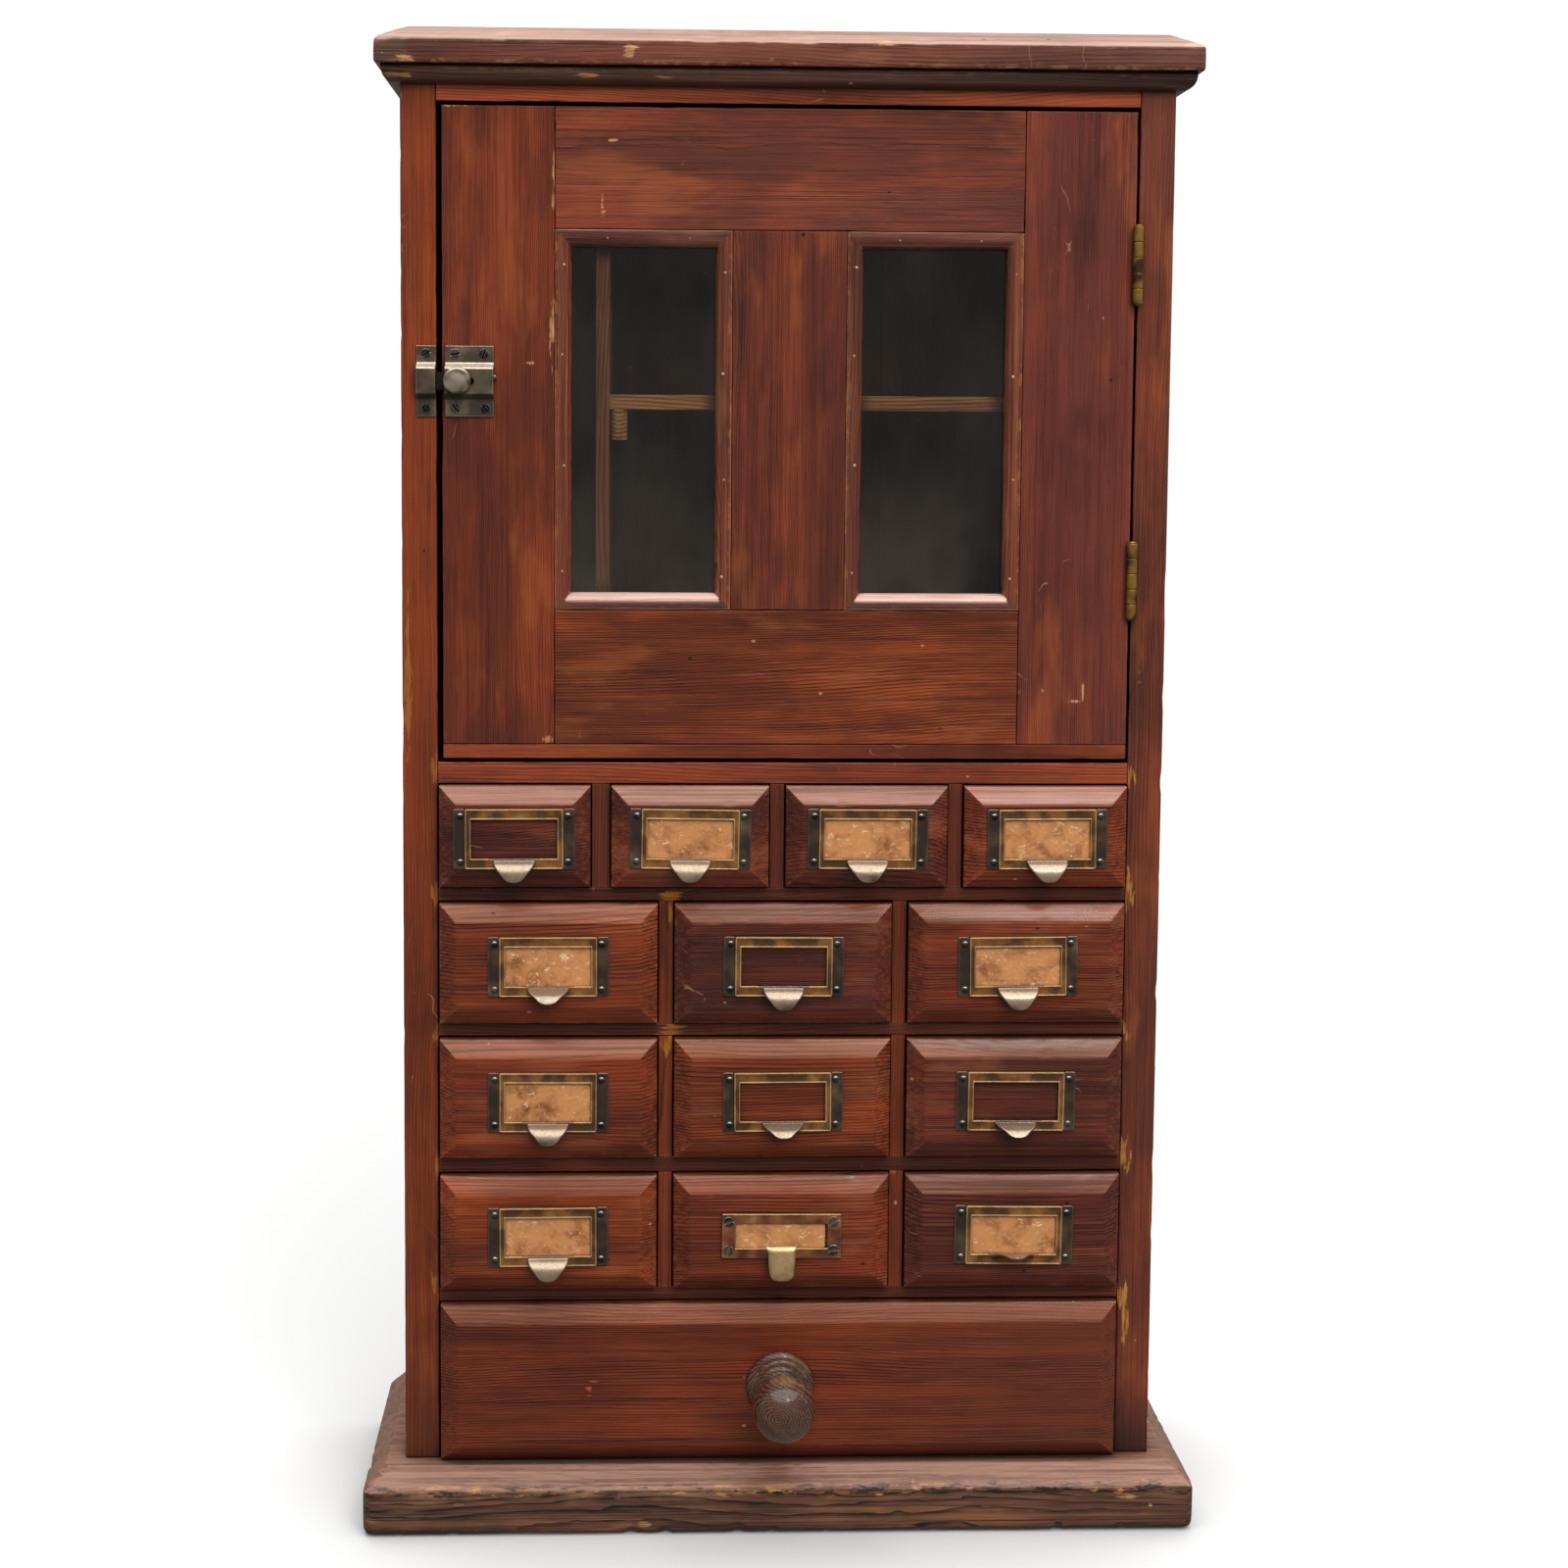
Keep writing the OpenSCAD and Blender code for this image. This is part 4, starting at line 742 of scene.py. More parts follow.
# Painted highlight on the drawer fronts' upward bevels, strongest on the top row, where row 1 also takes a paler
# highlight tone
FRONT_TOP_HIGHLIGHT = {1: 0.5, 2: 0.24, 3: 0.28, 4: 0.16}
for r, c in SMALL:
    d = "drawer_%d_%d" % (r, c)
    lo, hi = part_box(d + "_front")
    seed = 100 + 7 * r + c
    mat = wood(d + "_wood", "x", mid(lo, hi), seed, tones=FRONT_TONES[r, c], ring=1.5 + 0.3 * ((r * 3 + c * 5) % 4),
               pith=((-75, 58, 96, -62)[(r + 2 * c) % 4], (16, 26, 8)[(r + c) % 3]), contrast=1.0, blotch=0.7,
               gloss=0.32, coat=0.35, sheen=0.3, stripes=0.45, up=FRONT_TOP_HIGHLIGHT[r], top_highlight_tone=rgb(224, 166, 140) if r == 1 else rgb(216, 148, 110),
               worn=rgb(186, 118, 80), wear=0.8, chipped=0.2, bare_and_highlight_tone=rgb(204, 160, 124))
    raised_front(d + "_front", d, d + "_front", seed, mat)

lo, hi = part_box("wide_drawer_front")
# Wide drawer: a painted highlight on its upward bevel; darker towards the right
wide_mat = wood("wide_drawer_wood", "x", mid(lo, hi), 171, tones=(rgb(140, 58, 27), rgb(88, 34, 20), rgb(24, 11, 9)), ring=1.9,
                pith=(-110, 20), contrast=1.0, blotch=0.65, gloss=0.36, coat=0.35, sheen=0.3, stripes=0.45, up=0.18, top_highlight_tone=rgb(216, 148, 110),
                tone_and_shade_bands=((0, 20 * MM, 190 * MM, rgb(76, 44, 34), 0.38),),
                chipped=0.2, bare_and_highlight_tone=rgb(176, 92, 64), bare_and_highlight=[(-127, lo.y / MM, 94, 3, 12, 5), (-124, lo.y / MM, 99, 5, 12, 1)])
raised_front("wide_drawer_front", "wide_drawer", "wide_drawer_front", 171, wide_mat)

for r, c in SMALL + [(0, 0)]:
    d = "drawer_%d_%d" % (r, c) if r else "wide_drawer"
    lo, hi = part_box(d + "_box")
    dress(d + "_box", wood(d + "_box_wood", "y", mid(lo, hi), 200 + 10 * r + c, tones=(rgb(206, 168, 120), rgb(158, 118, 78), rgb(104, 72, 46)),
                           ring=3.2, pith=(20, 30), contrast=0.45, blotch=0.5, gloss=0.7, coat=0.0, wear=0.3, specks=0.3))

# ---------------------------------------------------------------- knob

lo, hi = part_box("wide_drawer_knob")
KX, KZ = (lo.x + hi.x) / 2, (lo.z + hi.z) / 2
# Knob: a painted highlight on the topmost faces of the turning
knob_mat = wood("knob_wood", "y", (KX, hi.y, KZ), 181, tones=(rgb(56, 30, 24), rgb(36, 21, 18), rgb(132, 94, 72)), ring=1.9,
                pith=(-3.5, 5), contrast=0.8, blotch=0.5, gloss=0.14, coat=0.9, sheen=0.2, wear=0.9, worn=rgb(226, 190, 140),
                grime_and_shade=0.6, specks=0, rough_bump=1.6, stripes=0.0, mottled=0.15, up=0.3, top_highlight_from=(0.86, 0.99), top_highlight_tone=rgb(196, 160, 122),
                reach=0.006)
turned = [(22.3, 0), (22.5, 0.4), (22.5, 2.0), (22.1, 2.8), (21.2, 3.5), (20.6, 3.9), (20.3, 4.3), (19.6, 4.4), (18.9, 4.6),
          (18.5, 4.4), (18.2, 4.8), (17.9, 5.6), (17.3, 6.1), (16.2, 6.2), (15.7, 6.5), (15.1, 6.3), (14.8, 6.9), (14.4, 7.9),
          (13.4, 8.7), (12.6, 8.6), (12.2, 9.3), (11.5, 10.3), (10.8, 11.8), (10.45, 13.6), (10.5, 16), (10.9, 18.6), (11.4, 20.2)]
turned += [(21 * math.sin(math.radians(a)), 38 - 21 * math.cos(math.radians(a))) for a in range(36, 180, 6)]
v, f = lathe([(r * MM, h * MM) for r, h in turned], (KX, hi.y, KZ), 72)
v = [Vector(p) + (Vector((p[0] - KX, 0, p[2] - KZ)).normalized() * -0.35 * MM * (0.5 + 0.5 * noise.noise(Vector(p) * 90))) for p in v]
make("wide_drawer_knob", "wide_drawer", v, f, knob_mat, "wide_drawer_knob", "knob_wood")

# ---------------------------------------------------------------- metal

FACE = FRONT - 12 * MM
PATINA = metal("pull_patina", rgb(224, 184, 122), rgb(146, 94, 50), rgb(84, 58, 40), 0.1, rough=0.34, body=0.35, smooth=0.6,
               proud=(FACE - 2.1 * MM, FACE - 2.5 * MM))
EAR = metal("pull_ear_patina", rgb(190, 160, 126), rgb(84, 66, 52), rgb(56, 46, 38), 0.1, rough=0.32, body=0.35, smooth=0.4)
BRIGHT = metal("pull_lip_metal", rgb(182, 162, 140), rgb(138, 110, 86), rgb(84, 62, 46), 0.7, rough=0.26, smooth=0.7)
CAST = metal("cast_brass", rgb(226, 190, 136), rgb(146, 90, 52), rgb(92, 56, 42), 0.08, rough=0.3, body=0.35, smooth=0.7)
TONGUE = metal("tongue_brass", rgb(206, 178, 128), rgb(150, 118, 76), rgb(84, 64, 42), 0.35, rough=0.2, body=0.5, smooth=0.6)
IRON = metal("dark_iron", rgb(190, 184, 172), rgb(70, 66, 60), rgb(34, 32, 30), 0.2, rough=0.26, smooth=0.3)
HINGE = metal("hinge_brass", rgb(190, 150, 72), rgb(140, 98, 40), rgb(70, 48, 24), 0.5, rough=0.36)
LATCH = metal("latch_steel", rgb(250, 234, 210), rgb(104, 88, 68), rgb(74, 64, 52), 0.1, rough=0.3, body=0.35, smooth=0.5)
LATCH_KNOB = metal("latch_knob_steel", rgb(236, 222, 200), rgb(126, 112, 94), rgb(78, 68, 56), 0.35, rough=0.24, body=0.5, smooth=0.6)


def loops(rings, cap=False):
    """Quads between successive rings of equal length; without caps the last joins the first."""
    n, m = len(rings[0]), len(rings)
    verts = [p for ring in rings for p in ring]
    faces = []
    for i in range(m - 1 if cap else m):
        e = (i + 1) % m
        for j in range(n):
            k = (j + 1) % n
            faces.append((i * n + j, i * n + k, e * n + k, e * n + j))
    if cap:
        faces += [tuple(reversed(range(n))), tuple((m - 1) * n + j for j in range(n))]
    return verts, faces


def hoop(rows, nx=10, ny=6, k=3):
    """A frame built of rounded rectangles; rows are (x0, x1, z0, z1, height, corner) in mm."""
    return loops([[(p[0], -h, p[1]) for p, _ in outline(x0, x1, z0, z1, r, nx, ny, k)] for x0, x1, z0, z1, h, r in rows])


def plate(x0, x1, z0, z1, base, top, r, ease=0.35, nx=3, ny=5, dish=0.0):
    """A thin plate with eased edges, in mm."""
    rows = [(0, base), (0, top - ease), (ease * 0.3, top - ease * 0.3), (ease, top), (ease + 1.2, top + dish)]
    return loops([[(p[0], -h, p[1]) for p, _ in outline(x0 + i, x1 - i, z0 + i, z1 - i, max(0.15, r - i * 0.5), nx, ny, 3)]
                  for i, h in rows], cap=True)


def dome(x, z, base, r, rise, seg=18):
    rows = [(r * 1.0, 0), (r, rise * 0.15)] + [(r * math.cos(a), rise * (0.15 + 0.85 * math.sin(a)))
                                             for a in [math.pi / 2 * t / 5 for t in range(1, 5)]] + [(r * 0.08, rise)]
    return lathe(rows, (x, -base, z), seg)


def screw(x, z, base, r, turn, seg=20):
    """Countersunk head with a slot: a lower disc and two half discs beside the slot."""
    parts = [lathe([(r, 0), (r, 0.25), (r * 0.9, 0.3)], (x, -base, z), seg)]
    half = 0.16 * r
    lift = 0.62
    for side in (1, -1):
        a0 = math.asin(half / r)
        arc = [(a0 + (math.pi - 2 * a0) * t / 10) for t in range(11)]
        rim = [(r * math.cos(a), r * math.sin(a)) for a in arc]
        rings = []
        for scale, h in ((1.0, 0.2), (1.0, lift - 0.15), (0.93, lift), (0.6, lift + 0.12)):
            ring = []
            for px, pz in rim:
                qx, qz = px * scale, max(half, pz * scale)
                qx, qz = qx, side * qz
                ring.append((x + qx * math.cos(turn) - qz * math.sin(turn), -base - h,
                             z + qx * math.sin(turn) + qz * math.cos(turn)))
            rings.append(ring if side > 0 else ring[::-1])
        parts.append(loops(rings, cap=True))
    return join(parts)


def place_mm(part, x, y, z, tilt=0.0):
    """Moves a part drawn in mm (x, -height, z) to row coordinates, turned by tilt about the front axis."""
    c, s = math.cos(math.radians(tilt)), math.sin(math.radians(tilt))
    verts, faces = part
    return [((x + px * c - pz * s) * MM, FRONT + (y + py) * MM, (z + px * s + pz * c) * MM) for px, py, pz in verts], faces


LIP_HALF = [(0.0, 17.0), (0.6, 14.4), (1.6, 13.4), (3.0, 12.9), (4.6, 12.2), (6.4, 10.9), (8.4, 9.0), (10.4, 7.4), (12.0, 6.0),
            (13.1, 4.6), (13.8, 3.0), (14.15, 1.2)]


def lip_half(drop):
    for (a, p), (b, q) in zip(LIP_HALF, LIP_HALF[1:]):
        if drop <= b:
            return p + (q - p) * (drop - a) / (b - a)
    return LIP_HALF[-1][1]


def finger_lip(bend):
    """Curved sheet that leaves the lower bar and turns down, bent up about the bar by "bend" degrees."""
    radius, thick, top, pivot, face = 14.0, 1.15, -12.75, -14.15, 2.6
    cz = pivot - math.sqrt(radius ** 2 - (3 + face) ** 2)
    drops = [0, 0.25, 0.6, 1.0, 1.4] + [1.4 + 12.75 * t / 22 for t in range(1, 23)]
    cols, ca, sa = 20, math.cos(math.radians(bend)), math.sin(math.radians(bend))
    outer, inner = [], []
    for d in drops:
        z = top - d
        half = lip_half(d)
        for i in range(cols + 1):
            u = -1 + 2 * i / cols
            if z > pivot:
                o, n = (-face - 0.05, z), (1.0, 0.0)
            else:
                dy = math.sqrt(max(0.0, radius ** 2 - (z - cz) ** 2))
                o, n = (3 - dy - 0.05, z), (dy / radius, -(z - cz) / radius)
            rub = 0.18 * abs(u) ** 6
            q = (o[0] + n[0] * (thick + rub), o[1] + n[1] * (thick + rub))
            o = (o[0] + n[0] * rub, o[1] + n[1] * rub)
            for p, store in ((o, outer), (q, inner)):
                y, zz = p[0] + face, p[1] - pivot
                if z <= pivot:
                    y, zz = y * ca - zz * -sa, y * -sa + zz * ca
                store.append((u * half, y - face, zz + pivot))
    rows, w = len(drops), cols + 1
    n = rows * w
    faces = []
    for r in range(rows - 1):
        for c in range(cols):
            a = r * w + c
            faces.append((a, a + 1, a + w + 1, a + w))
            faces.append((n + a, n + a + w, n + a + w + 1, n + a + 1))
    rim = [r * w for r in range(rows)] + [(rows - 1) * w + c for c in range(1, w)] + \
          [r * w + cols for r in range(rows - 2, -1, -1)] + [c for c in range(cols - 1, 0, -1)]
    for i, a in enumerate(rim):
        b = rim[(i + 1) % len(rim)]
        faces.append((a, b, n + b, n + a))
    return outer + inner, faces


def card(x0, x1, z0, z1, height, bow, seed, curl=0.5):
    """Thin card, bowed and a little uneven, in mm."""
    nx, nz = 22, 10
    front, back = [], []
    for j in range(nz + 1):
        for i in range(nx + 1):
            u, v = i / nx, j / nz
            x, z = x0 + (x1 - x0) * u, z0 + (z1 - z0) * v
            h = height + bow * math.sin(math.pi * u) + 0.12 * curl * noise.noise(Vector((x * 0.12, z * 0.16, seed)))
            h += 0.1 * curl * noise.noise(Vector((x * 0.5, z * 0.5, seed + 9)))
            front.append((x, -h, z))
            back.append((x, -h + 0.35, z))
    w = nx + 1
    n = len(front)
    faces = []
    for j in range(nz):
        for i in range(nx):
            a = j * w + i
            faces.append((a, a + 1, a + w + 1, a + w))
            faces.append((n + a, n + a + w, n + a + w + 1, n + a + 1))
    rim = [i for i in range(w)] + [j * w + nx for j in range(1, nz + 1)] + [nz * w + i for i in range(nx - 1, -1, -1)] + \
          [j * w for j in range(nz - 1, 0, -1)]
    for i, a in enumerate(rim):
        b = rim[(i + 1) % len(rim)]
        faces.append((a, n + a, n + b, b))
    return front + back, faces


BEND = {(2, 1): 28, (3, 1): 8, (3, 2): 34, (3, 3): 34, (4, 3): 72}
CARDS = {(1, 2), (1, 3), (1, 4), (2, 1), (2, 3), (3, 1), (4, 1), (4, 2), (4, 3)}
TILT = {(1, 1): 0.2, (1, 2): -0.7, (1, 3): -0.3, (1, 4): 0.3, (2, 1): 0.1, (2, 2): -0.2, (2, 3): 0.5, (3, 1): -0.2, (3, 2): 0.3,
        (3, 3): -0.3, (4, 1): 0.4, (4, 2): -0.2, (4, 3): -0.5}


def stamped_pull():
    """Raised frame with rolled inner and outer edges."""
    w, h, a, b = 32, 19.75, 28, 12.75
    rows = [(-w, w, -h, h, 0, 0.9), (-w, w, -h, h, 2.0, 0.9), (-w + 0.12, w - 0.12, -h + 0.12, h - 0.12, 2.45, 0.8),
            (-w + 0.4, w - 0.4, -h + 0.4, h - 0.4, 2.6, 0.7), (-w + 0.85, w - 0.85, -h + 0.85, h - 0.85, 2.55, 0.6),
            (-w + 1.15, w - 1.15, -h + 1.3, h - 1.3, 2.0, 0.6), (-a - 1.1, a + 1.1, -b - 1.5, b + 1.5, 1.95, 0.5),
            (-a - 0.85, a + 0.85, -b - 0.95, b + 0.95, 2.5, 0.4), (-a - 0.45, a + 0.45, -b - 0.45, b + 0.45, 2.6, 0.4),
            (-a - 0.1, a + 0.1, -b - 0.1, b + 0.1, 2.4, 0.4),
            (-a, a, -b, b, 1.8, 0.4), (-a, a, -b, b, 1.05, 0.4), (-w + 1, w - 1, -h + 3, h - 3, 1.0, 0.5), (-w + 1, w - 1, -h + 3, h - 3, 0, 0.5)]
    return hoop(rows, 14, 8)


def ears():
    return join([plate(-39.5, -31.95, -19.75, 19.75, 0, 1.2, 1.3), plate(31.95, 39.5, -19.75, 19.75, 0, 1.2, 1.3)])


def thumb_tongue():
    """Solid cast tongue: a hooded root and a thick faceted tab that leans out and down."""
    rings = []
    rows = [(-6.6, 9.4, 1.0, 2.2), (-7.6, 10.4, 2.2, 3.0), (-9.0, 10.4, 3.6, 4.0), (-10.6, 9.5, 4.4, 4.0), (-12.5, 9.2, 5.4, 3.8),
            (-15.5, 9.1, 6.8, 3.6), (-18.5, 8.9, 8.3, 3.5), (-21.5, 8.6, 9.7, 3.4), (-24.0, 8.0, 10.6, 3.2), (-25.8, 6.8, 10.9, 2.8),
            (-27.0, 5.0, 10.8, 2.0), (-27.5, 3.0, 10.6, 1.2)]
    for z, half, reach, thick in rows:
        ring = []
        for t in range(28):
            a = 2 * math.pi * t / 28
            c, s = math.cos(a), math.sin(a)
            x = half * (abs(c) ** 0.5) * (1 if c > 0 else -1)
            y = 0.5 * thick * (abs(s) ** 0.7) * (1 if s > 0 else -1)
            ring.append((x, -(reach - 0.5 * thick) + y, z + 0.25 * noise.noise(Vector((x * 0.4, z * 0.4, 3)))))
        rings.append(ring)
    return loops(rings, cap=True)


for r, c in SMALL:
    d = "drawer_%d_%d" % (r, c)
    lo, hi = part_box(d + "_front")
    x, z = (lo.x + hi.x) / 2 / MM, (lo.z + hi.z) / 2 / MM
    tilt = TILT[r, c]
    if (r, c) == (4, 2):
        w, h, a, b, t = 39.5, 15, 30.5, 8.25, 2.2
        rows = [(-w, w, -h, h, 0, 0.8), (-w, w, -h, h, t - 0.5, 0.8), (-w + 0.15, w - 0.15, -h + 0.15, h - 0.15, t - 0.15, 0.7),
                (-w + 0.6, w - 0.6, -h + 0.6, h - 0.6, t, 0.6), (-a - 0.6, a + 0.6, -b - 0.6, b + 0.6, t, 0.4),
                (-a - 0.15, a + 0.15, -b - 0.15, b + 0.15, t - 0.15, 0.35), (-a, a, -b, b, t - 0.5, 0.3), (-a, a, -b, b, 0, 0.3)]
        make(d + "_pull", d, *place_mm(hoop(rows, 16, 8), x, -12, z, tilt), CAST, d + "_pull", "pull_brass")
        make(d + "_tongue", d, *place_mm(thumb_tongue(), x, -12, z, tilt), TONGUE, d + "_pull", "pull_brass")
        heads = [screw(sx, sz, t - 0.35, 3.6, turn) for sx, sz, turn in
                 ((-35, 9.6, 0.3), (-35.2, -9.8, 1.3), (34.6, 9.8, 0.5), (34.6, -9.4, 0.1))]
        make(d + "_screws", d, *place_mm(join(heads), x, -12, z, tilt), IRON, slot="pull_brass")
        make(d + "_card", d, *place_mm(card(-30.6, 28.8, -8.6, 8.6, 0.5, 0.3, r * 5 + c), x, -12, z, tilt),
             card_paper(d + "_card", r * 5 + c))
        continue
    make(d + "_pull", d, *place_mm(stamped_pull(), x, -12, z, tilt), PATINA, d + "_pull", "pull_brass")
    make(d + "_ears", d, *place_mm(ears(), x, -12, z, tilt), EAR, d + "_pull", "pull_brass")
    make(d + "_lip", d, *place_mm(finger_lip(BEND.get((r, c), 0)), x, -12, z, tilt), BRIGHT, d + "_pull", "pull_brass")
    nails = [dome(nx, nz, 1.0, 2.2, 1.5) for nx in (-34.9, 34.9) for nz in (-15.1, 15.1)]
    make(d + "_nails", d, *place_mm(join(nails), x, -12, z, tilt), IRON, slot="pull_brass")
    if (r, c) in CARDS:
        make(d + "_card", d, *place_mm(card(-29.4, 29.2, -14.4, 14.2, 0.55, 0.25, r * 5 + c), x, -12, z, tilt),
             card_paper(d + "_card", r * 5 + c))

# ---------------------------------------------------------------- latch and hinges

LZ = 760


def bridge(x0, x1, foot, flat, rise, sheet=1.4, half=22.75, steps=9):
    """Sheet pressed into a hollow bridge: flat feet, rounded shoulders, flat top; drawn in mm round z = 0."""
    prof = [(0, -half), (sheet - 0.3, -half), (sheet, -half + 0.3), (sheet, -foot - 0.4)]
    prof += [(sheet + (rise - sheet) * (0.5 - 0.5 * math.cos(math.pi * t)), -foot + (foot - flat + 1.2) * t - 0.2) for t in
             [i / 8 for i in range(1, 9)]]
    prof += [(h, -z) for h, z in reversed(prof)]
    under = [((rise - sheet) * (0.5 - 0.5 * math.cos(math.pi * i / 6)), foot - 0.6 + (flat - foot - 0.4) * i / 6) for i in range(7)]
    prof += under + [(h, -z) for h, z in reversed(under)]
    ease = [(0.0, 0.55), (0.16, 0.16), (0.5, 0.0)]
    xs = [(x0 + a, b) for a, b in ease] + [(x0 + (x1 - x0) * i / steps, 0) for i in range(1, steps)] + [(x1 - a, b) for a, b in reversed(ease)]
    rings = [[(px, -max(0.0, h - cut), pz) for h, pz in prof] for px, cut in xs]
    return loops(rings, cap=True)


def upright_disc(x, z, rows, seg=40):
    return lathe(rows, (x, 0, z), seg)


lo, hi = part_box("latch_keeper")
keeper = bridge(lo.x / MM, hi.x / MM, 12.2, 8.5, 7)
make("latch_keeper", ROOT, *place_mm(keeper, 0, 0, LZ), LATCH, "latch_keeper", "latch_metal")
kx = (lo.x + hi.x) / 2 / MM
make("latch_keeper_screws", ROOT, *place_mm(join([screw(kx, 17.6, 1.1, 3.3, 0.5), screw(kx, -17.6, 1.1, 3.3, 0.9)]), 0, 0, LZ), IRON,
     slot="latch_metal")
lo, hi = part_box("latch_case")
knob_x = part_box("latch_bolt")[0].x / MM + 13.7
slot = loops([[(knob_x + p[0], -h, p[1]) for p, _ in outline(-5.9, 10.9, -2.4, 2.4, 2.39, 4, 1, 6)] for h in (5.0, 8.0)], cap=True)
case = pierced(bridge(lo.x / MM, hi.x / MM, 12.2, 8.5, 7), slot)
make("latch_case", DOOR, *place_mm(case, 0, 0, LZ), LATCH, "latch_case", "latch_metal")
cx0, cx1 = lo.x / MM, hi.x / MM
make("latch_case_screws", DOOR, *place_mm(join([screw(cx0 + 6.2, 17.4, 1.1, 3.4, 0.2), screw(cx1 - 6.4, 17.4, 1.1, 3.4, 1.2),
                                                screw(cx0 + 6.6, -17.4, 1.1, 3.4, 2.3), screw(cx1 - 5.6, -17.6, 1.1, 3.4, 2.25)]), 0, 0, LZ),
     IRON, slot="latch_metal")
# painted shadow: the bolt's tongue is near black, standing in for the shade in the gap behind the knob
dark = Shader("tongue_painted_shadow")
dark.set("Base Color", dark.mix(dark.noise(dark.stretch(dark.pos, (900, 900, 900)), 2.0), rgb(12, 10, 9), rgb(26, 21, 18)))
dark.set("Roughness", dark.fit(dark.noise(dark.stretch(dark.pos, (700, 700, 700)), 2.0), 0.3, 0.7, 0.7, 0.9))
spring = join([upright_disc(cx1 + 0.4, 2.5, [(1.5, 0.1), (1.5, 3.2), (1.2, 3.7), (0.5, 3.9)], 16)])
make("latch_spring_end", DOOR, *place_mm(spring, 0, 0, LZ), LATCH_KNOB, slot="latch_metal")

lo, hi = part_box("latch_bolt")
bx = hi.x - 21 * MM
tongue = plate(lo.x / MM, lo.x / MM + 20.9, -5.6, 5.6, 1.9, 4.9, 0.4, 0.3)
make("latch_tongue", "latch_bolt", *place_mm(tongue, 0, 0, LZ), dark.mat, "latch_bolt", "latch_metal")
knob_rows = [(2.0, 1.9), (2.0, 7.0), (4.6, 7.02), (8.3, 7.1), (8.75, 7.5), (9.0, 8.2), (9.0, 9.0), (8.75, 9.7), (8.3, 10.3), (7.6, 10.7),
             (6.6, 10.9), (6.0, 10.8), (5.4, 11.0), (3.6, 11.5), (1.6, 11.8), (0.2, 11.85)]
make("latch_bolt", "latch_bolt", *place_mm(lathe(knob_rows, (knob_x, 0, 0), 48), 0, 0, LZ), LATCH_KNOB,
     "latch_bolt", "latch_metal")

AX, AY = 226.25, -4.0
for n, hz in enumerate((607.5, 812.5)):
    frame_part, door_part = [], []
    for k in range(5):
        z0, z1 = hz + 10 * k + 0.15, hz + 10 * k + 9.85
        ring = [(2.7, 0), (3.1, 0.12), (3.25, 0.5), (3.25, z1 - z0 - 0.5), (3.1, z1 - z0 - 0.12), (2.7, z1 - z0)]
        v, f = lathe(ring, (AX, AY, z0), 28, "z")
        part = (v, f)
        (frame_part if k % 2 == 0 else door_part).append(part)
        x0, x1 = (226.85, 228.6) if k % 2 == 0 else (223.9, 225.65)
        leaf = loops([[(x0 + i, AY + i, z), (x1 - i, AY + i, z), (x1 - i, 1.0, z), (x0 + i, 1.0, z)] for z, i in
                      ((z0, 0.2), (z0 + 0.2, 0.0), (z1 - 0.2, 0.0), (z1, 0.2))], cap=True)
        (frame_part if k % 2 == 0 else door_part).append(leaf)
    for x0, x1, store in ((226.85, 228.6, frame_part), (223.9, 225.65, door_part)):
        store.append(loops([[(x0 + i, 0.0 + i, z), (x1 - i, 0.0 + i, z), (x1 - i, 19 - i, z), (x0 + i, 19 - i, z)] for z, i in
                            ((hz, 0.2), (hz + 0.2, 0.0), (hz + 49.8, 0.0), (hz + 50, 0.2))], cap=True))
    for z, s in ((hz + 50, 1), (hz, -1)):
        v, f = lathe([(2.4, 0), (2.5, 0.3), (2.3, 0.8), (1.5, 1.15), (0.3, 1.2)], (AX, AY, z), 20, "z")
        if s < 0:
            v = [(p[0], p[1], 2 * z - p[2]) for p in v]
            f = [tuple(reversed(q)) for q in f]
        frame_part.append((v, f))
    make("hinge_frame_%d" % (n + 1), ROOT, *place_mm(join(frame_part), 0, 0, 0), HINGE, "hinge_frame_leaves", "hinge_metal")
    make("hinge_door_%d" % (n + 1), DOOR, *place_mm(join(door_part), 0, 0, 0), HINGE, "hinge_door_leaves", "hinge_metal")

# brads in the glazing beads
brads = []
for x0, x1 in WINDOWS:
    for bx, zs in ((x0 + 5.4, (640, 705, 775, 832)), (x1 - 5.4, (636, 700, 768, 828))):
        brads += [dome(bx + (0.7 if i % 2 else -0.6), bz + 3 * math.sin(bx + bz), -1.2, 1.25, 1.0, 10) for i, bz in enumerate(zs)]
    brads += [dome(bx, WZ[0] + 5.5, -1.2, 0.9, 0.9, 10) for bx in (x0 + 30, x1 - 32)]
    brads += [dome(bx, WZ[1] - 5.5, -1.2, 0.9, 0.9, 10) for bx in (x0 + 34, x1 - 28)]
BRAD = metal("bead_brads", rgb(232, 204, 150), rgb(188, 146, 88), rgb(120, 84, 48), 0.8, rough=0.34)
make("bead_brads", DOOR, *place_mm(join(brads), 0, 0, 0), BRAD, slot="hinge_metal")

# ---------------------------------------------------------------- stage, light, camera


def area(name, place, target, size, power, tint=(1, 1, 1)):
    light = bpy.data.lights.new(name, "AREA")
    light.shape = "RECTANGLE"
    light.size, light.size_y = size
    light.energy = power
    light.color = tint
    ob = bpy.data.objects.new(name, light)
    bpy.context.scene.collection.objects.link(ob)
    ob.location = place
    ob.rotation_euler = (Vector(target) - Vector(place)).to_track_quat("-Z", "Y").to_euler()
    return ob


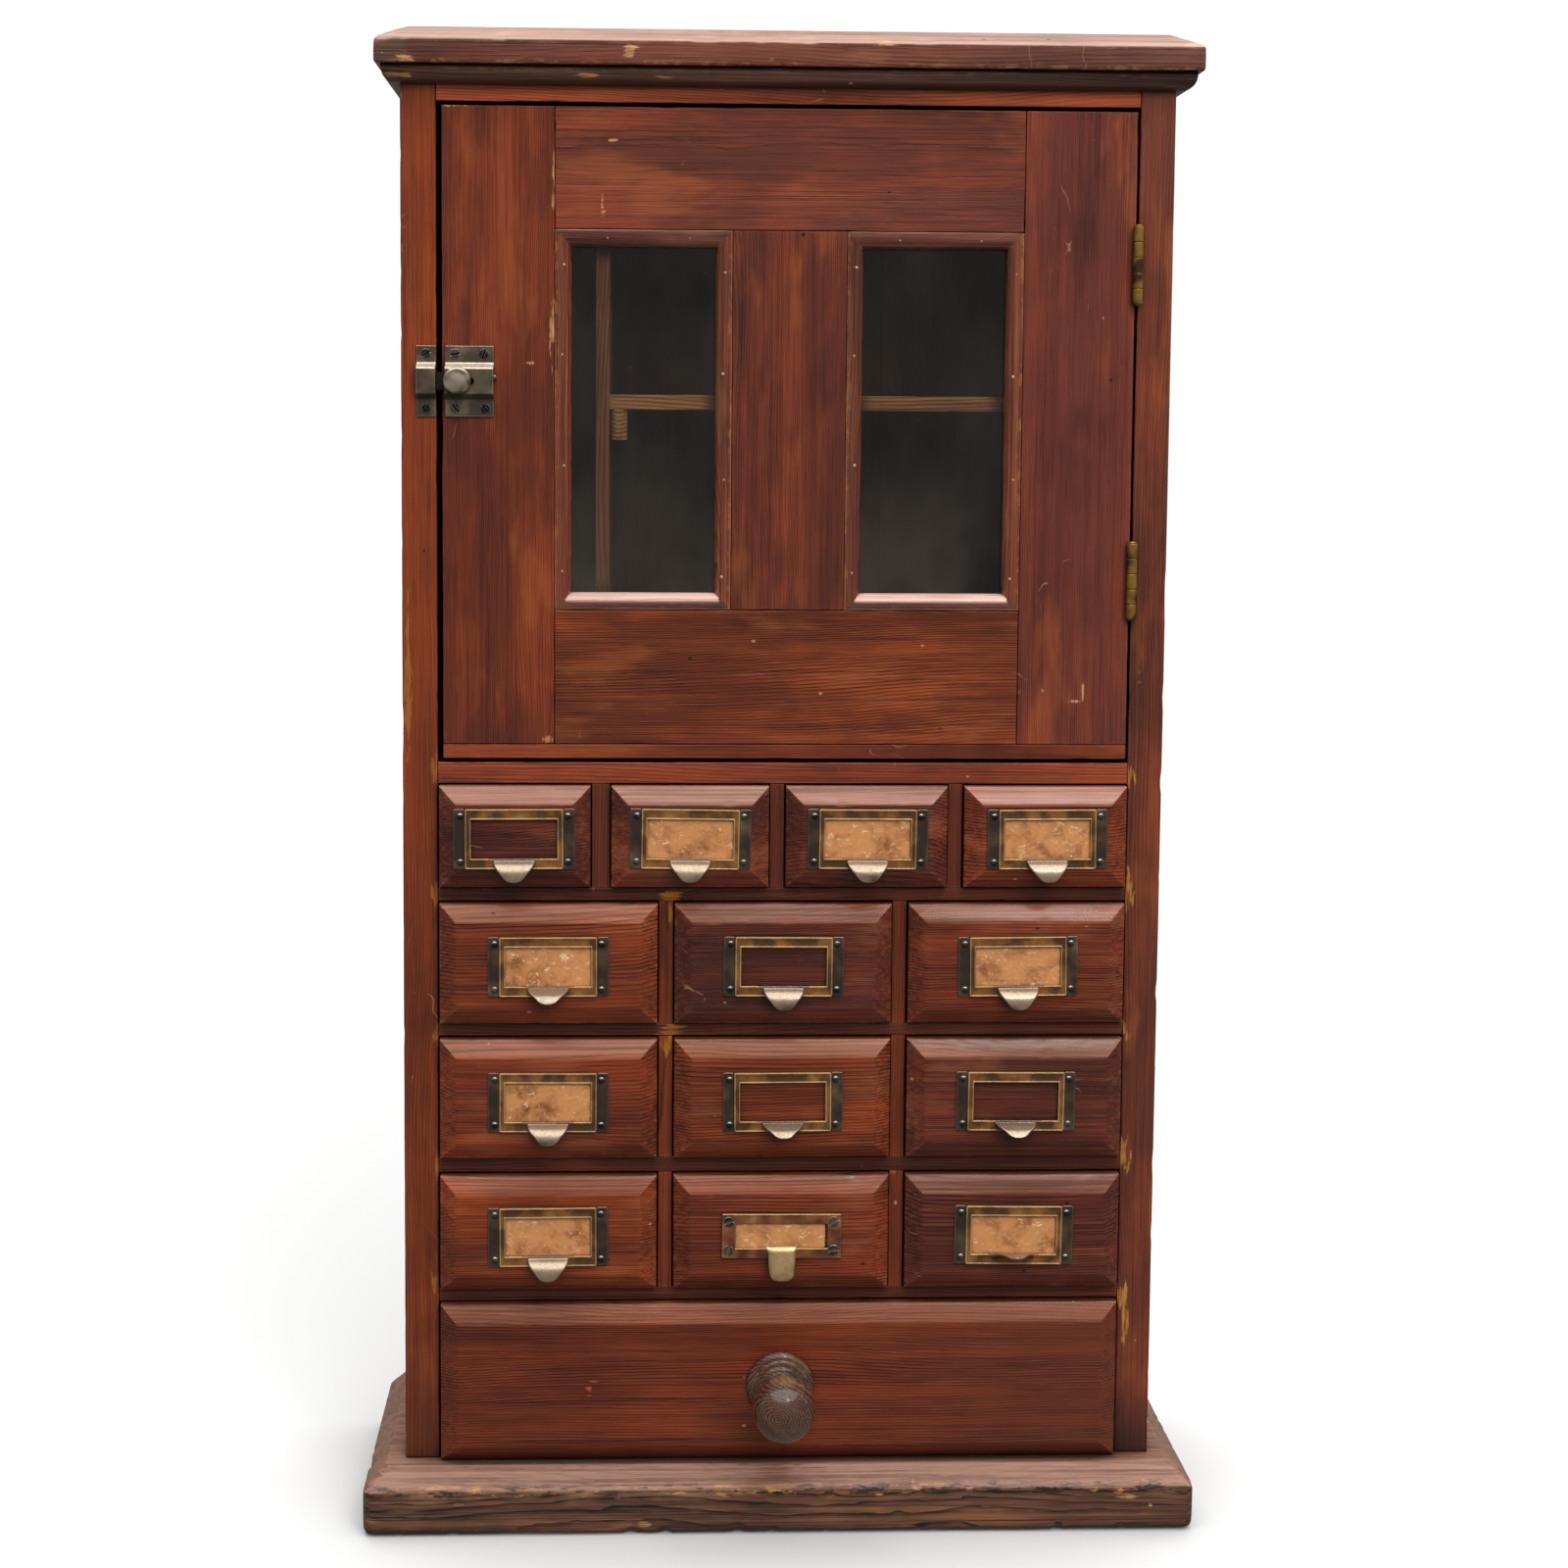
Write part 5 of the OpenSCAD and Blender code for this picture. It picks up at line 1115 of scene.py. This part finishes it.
sky = bpy.data.lights.new("overhead", "SUN")
sky.energy = 3.2
sky.angle = math.radians(84)
sky_ob = bpy.data.objects.new("overhead", sky)
bpy.context.scene.collection.objects.link(sky_ob)
sky_ob.location = (0, 0, 3)
soft = area("front_soft", (0.7, -2.6, 2.1), (0, 0, 0.5), (2.6, 1.8), 74)
soft.visible_glossy = False
area("side_fill_left", (-2.6, 0.8, 1.4), (0, 0, 0.5), (1.6, 1.6), 4)
area("side_fill_right", (2.6, 1.0, 1.4), (0, 0, 0.5), (1.6, 1.6), 10)
area("glint", (0.6, -1.5, 2.3), (0, 0, 0.5), (0.3, 0.3), 3.5)

world = bpy.data.worlds.new("studio")
bpy.context.scene.world = world
world.use_nodes = True
wn = world.node_tree.nodes
wn.clear()
seen = wn.new("ShaderNodeBackground")
seen.inputs["Strength"].default_value = 1.05
fill = wn.new("ShaderNodeBackground")
fill.inputs["Color"].default_value = (1.0, 0.98, 0.95, 1)
fill.inputs["Strength"].default_value = 0.2
pick = wn.new("ShaderNodeMixShader")
path_node = wn.new("ShaderNodeLightPath")
world_out = wn.new("ShaderNodeOutputWorld")
seen.inputs["Color"].default_value = (1, 1, 1, 1)
world.node_tree.links.new(path_node.outputs["Is Camera Ray"], pick.inputs[0])
world.node_tree.links.new(fill.outputs[0], pick.inputs[1])
world.node_tree.links.new(seen.outputs[0], pick.inputs[2])
world.node_tree.links.new(pick.outputs[0], world_out.inputs[0])

fs = Shader("floor")
# floor paler further from the cabinet, painted to even out the lamps' falloff
spread = fs.vmath("LENGTH", fs.pos).outputs["Value"]
pale_painted_falloff = fs.mix(fs.fit(spread, 0.5, 2.4), rgb(225, 225, 225), rgb(242, 242, 242))
# painted contact shadow: the floor darkens close to the cabinet's base
fs.set("Base Color", fs.mix(fs.math("MULTIPLY", fs.crevice(0.11, 0.35, 1.0), 0.55), pale_painted_falloff, rgb(150, 150, 150)))
fs.set("Roughness", 0.9)
me = bpy.data.meshes.new("floor")
me.from_pydata([(-9, -9, -0.0005), (9, -9, -0.0005), (9, 9, -0.0005), (-9, 9, -0.0005)], [], [(0, 1, 2, 3)])
me.materials.append(fs.mat)
floor = bpy.data.objects.new("floor", me)
bpy.context.scene.collection.objects.link(floor)
floor.visible_diffuse = False
floor.visible_glossy = False

cam_data = bpy.data.cameras.new("camera")
cam = bpy.data.objects.new("camera", cam_data)
bpy.context.scene.collection.objects.link(cam)
cam.location = (-0.0954, -1.5204, 0.7282)
yaw, pitch, roll = math.radians(1.77), math.radians(4.45), math.radians(-0.35)
right = Vector((math.cos(yaw), -math.sin(yaw), 0))
ahead = Vector((math.sin(yaw), math.cos(yaw), 0))
look = ahead * math.cos(pitch) - Vector((0, 0, math.sin(pitch)))
up = ahead * math.sin(pitch) + Vector((0, 0, math.cos(pitch)))
cam_x = right * math.cos(roll) - up * math.sin(roll)
cam_y = right * math.sin(roll) + up * math.cos(roll)
turn = Vector((0, 0, 0)).to_track_quat("Z", "Y").to_matrix()
turn.col[0], turn.col[1], turn.col[2] = cam_x, cam_y, -look
cam.rotation_euler = turn.to_euler()
cam_data.sensor_width = 36
cam_data.lens = 51.47
cam_data.shift_x = 0.048
cam_data.shift_y = -0.1131
cam_data.clip_start = 0.05
bpy.context.scene.camera = cam
bpy.context.scene.view_settings.view_transform = "Standard"
